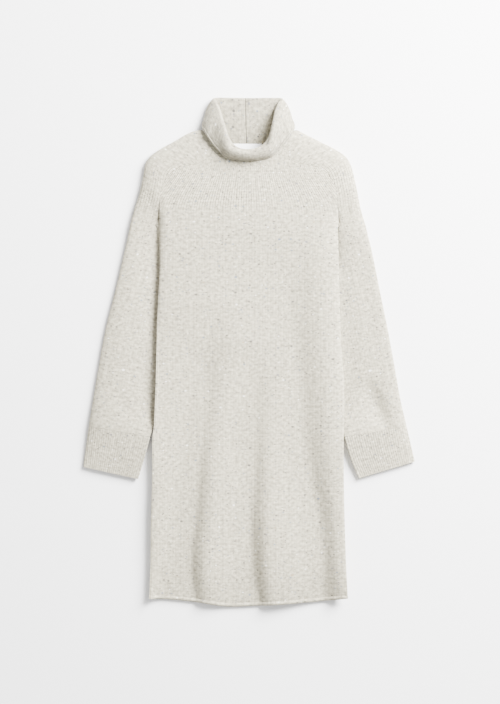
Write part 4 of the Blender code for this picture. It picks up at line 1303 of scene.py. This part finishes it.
def fleck_layer(tree, across, along, colour, cells, share, size):
    """Neps scattered one to a cell, and only in a share of the cells."""
    place = in_cells(tree, across, along, *cells)
    scatter = tree.nodes.new("ShaderNodeTexVoronoi")
    scatter.voronoi_dimensions = "2D"
    feed(tree, scatter.inputs["Vector"], place)
    scatter.inputs["Scale"].default_value = 1.0
    random = tree.nodes.new("ShaderNodeSeparateColor")
    tree.links.new(scatter.outputs["Color"], random.inputs[0])
    some = calc(tree, "LESS_THAN", random.outputs[0], share)
    radius = scaled(tree, random.outputs[2], size * NEP_RANGE[0], size * NEP_RANGE[1])
    near = calc(tree, "DIVIDE", scatter.outputs["Distance"], radius)
    spot = rest_of(tree, soft_step(tree, near, NEP_EDGE, 1.0))
    ramp = tree.nodes.new("ShaderNodeValToRGB")
    ramp.color_ramp.interpolation = "CONSTANT"
    stops = ramp.color_ramp.elements
    for number, (start, shade) in enumerate(FLECKS):
        stop = stops[number] if number < len(stops) else stops.new(start)
        stop.position = start
        stop.color = shade
    tree.links.new(random.outputs[1], ramp.inputs[0])
    strength = times(tree, times(tree, some, spot), NEP_STRENGTH)
    return mixed(tree, strength, colour, ramp.outputs[0])


def line_depth(tree, here, other, place, half, low, high, depth):
    """A line sunk into the knitting: its depth at its place, and 0 beside and beyond it."""
    gap = calc(tree, "ABSOLUTE", calc(tree, "SUBTRACT", here, place))
    near = rest_of(tree, soft_step(tree, gap, 0.0, half))
    begun = soft_step(tree, other, low, low + LINE_END)
    ended = rest_of(tree, soft_step(tree, other, high - LINE_END, high))
    inside = times(tree, begun, ended)
    return times(tree, times(tree, near, inside), depth)


def knitted(name, groove_shade, relief, tone=1.0, lines=(), yoke=2.4):
    """Marled wool in plain knitting, placed by the stitch coordinates, with lines sunk into it.

    The second argument is the painted shade in the grooves: how much darker they are painted.
    Relief is the bump in metres, tone the whole cloth's brightness, and yoke how much more painted
    shade the grooves get in the yoke's band, so that the wales show more there. Each sunk line is
    painted darker along it as shade too.
    """
    made = bpy.data.materials.new(name)
    made.use_nodes = True
    tree = made.node_tree
    shader = tree.nodes["Principled BSDF"]
    for socket, value in SURFACE.items():
        shader.inputs[socket].default_value = value
    stitches = tree.nodes.new("ShaderNodeUVMap")
    stitches.uv_map = "stitches"
    split = tree.nodes.new("ShaderNodeSeparateXYZ")
    tree.links.new(stitches.outputs[0], split.inputs[0])
    across, along_wale = split.outputs[0], split.outputs[1]
    coordinates = tree.nodes.new("ShaderNodeTexCoord")
    body = coordinates.outputs["Object"]
    height = stitch_height(tree, across, along_wale)
    stitch = vector(tree, calc(tree, "FLOOR", across), calc(tree, "FLOOR", along_wale))
    white = tree.nodes.new("ShaderNodeTexWhiteNoise")
    white.noise_dimensions = "2D"
    tree.links.new(stitch, white.inputs["Vector"])
    each = scaled(tree, white.outputs["Value"], *STITCH_TONE)
    streak_place = in_cells(tree, across, along_wale, *STREAK_CELLS)
    streak = scaled(tree, noise(tree, streak_place, 1.0), *STREAK_TONE)
    mottle_place = in_cells(tree, across, along_wale, *MOTTLE_CELLS)
    mottle = scaled(tree, noise(tree, mottle_place, 1.0, 1.0), *MOTTLE_TONE)
    streak = times(tree, streak, mottle)
    slow = scaled(tree, noise(tree, body, SLOW_SCALE), *SLOW_TONE)
    fibre = noise(tree, body, FIBRE_SCALE, 3.0)
    fuzz = scaled(tree, fibre, *FIBRE_TONE)
    place = tree.nodes.new("ShaderNodeSeparateXYZ")
    tree.links.new(body, place.inputs[0])
    begun = soft_step(tree, place.outputs[1], *YOKE_BAND[:2])
    ended = rest_of(tree, soft_step(tree, place.outputs[1], *YOKE_BAND[2:]))
    # Painted shade: the grooves below the stitches' mean height are painted darker, more in the
    # yoke's band.
    depth = scaled(tree, times(tree, begun, ended), yoke, groove_shade)
    wander = soft_step(tree, noise(tree, body, WANDER_SCALE), 0.35, 0.65)
    depth = times(tree, depth, scaled(tree, wander, *WANDER))
    dip = scaled(tree, calc(tree, "SUBTRACT", height, MEAN_HEIGHT), depth, BASE_TONE * tone)
    # Each sunk line is also painted darker along it, as shade in its groove, besides its dent in
    # the bump.
    for axis, *line in lines:
        here, other = (across, along_wale) if axis == "wale" else (along_wale, across)
        sunk = line_depth(tree, here, other, *line)
        dip = times(tree, dip, rest_of(tree, sunk))
        height = scaled(tree, sunk, -LINE_RELIEF, height)
    shade = times(tree, times(tree, each, streak), times(tree, slow, fuzz))
    shade = times(tree, shade, dip)
    warm = noise(tree, streak_place, YARN_SCALE)
    yarn = mixed(tree, warm, *YARNS)
    colour = mixed(tree, 1.0, yarn, shade, "MULTIPLY")
    for cells, share, size in FLECK_LAYERS:
        colour = fleck_layer(tree, across, along_wale, colour, cells, share, size)
    tree.links.new(colour, shader.inputs["Base Color"])
    bump = tree.nodes.new("ShaderNodeBump")
    bump.inputs["Distance"].default_value = relief
    bump.inputs["Strength"].default_value = 1.0
    rough = scaled(tree, fibre, FIBRE_RELIEF, height)
    tree.links.new(rough, bump.inputs["Height"])
    tree.links.new(bump.outputs[0], shader.inputs["Normal"])
    return made


# Painted shade: how much darker the stitches' grooves are painted.
GROOVE_SHADE = 0.06
RELIEF, RIB_RELIEF = 0.4 * MM, 0.3 * MM
wool = knitted("oatmeal_wool", GROOVE_SHADE, RELIEF)
rib_wool = knitted("oatmeal_rib", GROOVE_SHADE, RIB_RELIEF)
woven = plain_material("woven_label", (0.97, 0.97, 0.97, 1), 0.6)
COLLAR_LINES = (  # direction, place, half width, from, to, depth, which also sets the painted shade along the line
    ("wale", back_seam, 0.3, -2, fold_line + 3, 0.62),
    ("wale", back_seam - 0.9, 0.22, fold_line - 6, fold_line + 2, 0.45),
    ("course", fold_line + 0.6, 0.4, back_seam - 14, back_seam + 14, 0.16),
    ("course", fall_end - 2.0, 0.45, -5, 200, 0.3),
    ("course", fall_end, 1.0, -5, 200, 0.22),
)
# The collar is the same wool, painted darker overall as shade by its lower tone, with painted shade
# along its sunk lines.
shaded_collar_wool = knitted(
    "oatmeal_collar_painted_shade", GROOVE_SHADE, RELIEF, tone=0.83, lines=COLLAR_LINES, yoke=0.0
)
print("wool ready, with", len(COLLAR_LINES), "lines sunk into the collar")

# %% Wool on every piece
CLOTHS = {"label": woven, "cuff": rib_wool, "collar": shaded_collar_wool}  # all else is plain wool
PIECES = {
    "front": front,
    "back": back,
    "sleeve_left": SLEEVES["left"],
    "sleeve_right": SLEEVES["right"],
    "cuff_left": CUFFS["left"],
    "cuff_right": CUFFS["right"],
    "collar": collar_cloth,
    "label": label_cloth,
}
for node, made in PIECES.items():
    made.data.materials.append(CLOTHS.get(node.split("_")[0], wool))
    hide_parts(node)
print("pieces:", len(PIECES))

# %% [markdown]
# ## The cut of each piece
# Nothing is stretched: a knitted piece lies as large as it was knitted. Width and length are those
# of the flat piece, all round on the sleeves, the cuffs and the collar. The area is smaller than
# their product where the piece is shaped.

# %% Cuts
CUTS = (  # piece, width m, length m, area m2, how it lies, what it rests on
    ("back", 0.385, 0.895, 0.306, "laid", ("floor",)),
    ("front", 0.385, 0.89, 0.305, "laid", ("back_cloth",)),
    ("sleeve_left", 0.265, 0.63, 0.104, "laid", ("floor",)),
    ("sleeve_right", 0.26, 0.63, 0.098, "laid", ("floor",)),
    ("cuff_left", 0.245, 0.085, 0.0195, "laid", ("floor",)),
    ("cuff_right", 0.24, 0.085, 0.019, "laid", ("floor",)),
    ("collar", 0.37, 0.125, 0.037, "folded", ("floor", "back_cloth")),
    ("label", 0.054, 0.022, 0.0012, "laid", ("back_cloth",)),
)
for node, width, length, area, held, rests_on in CUTS:
    print(node, "cut", area, "m2, made", round(flat_area(PIECES[node]), 4))
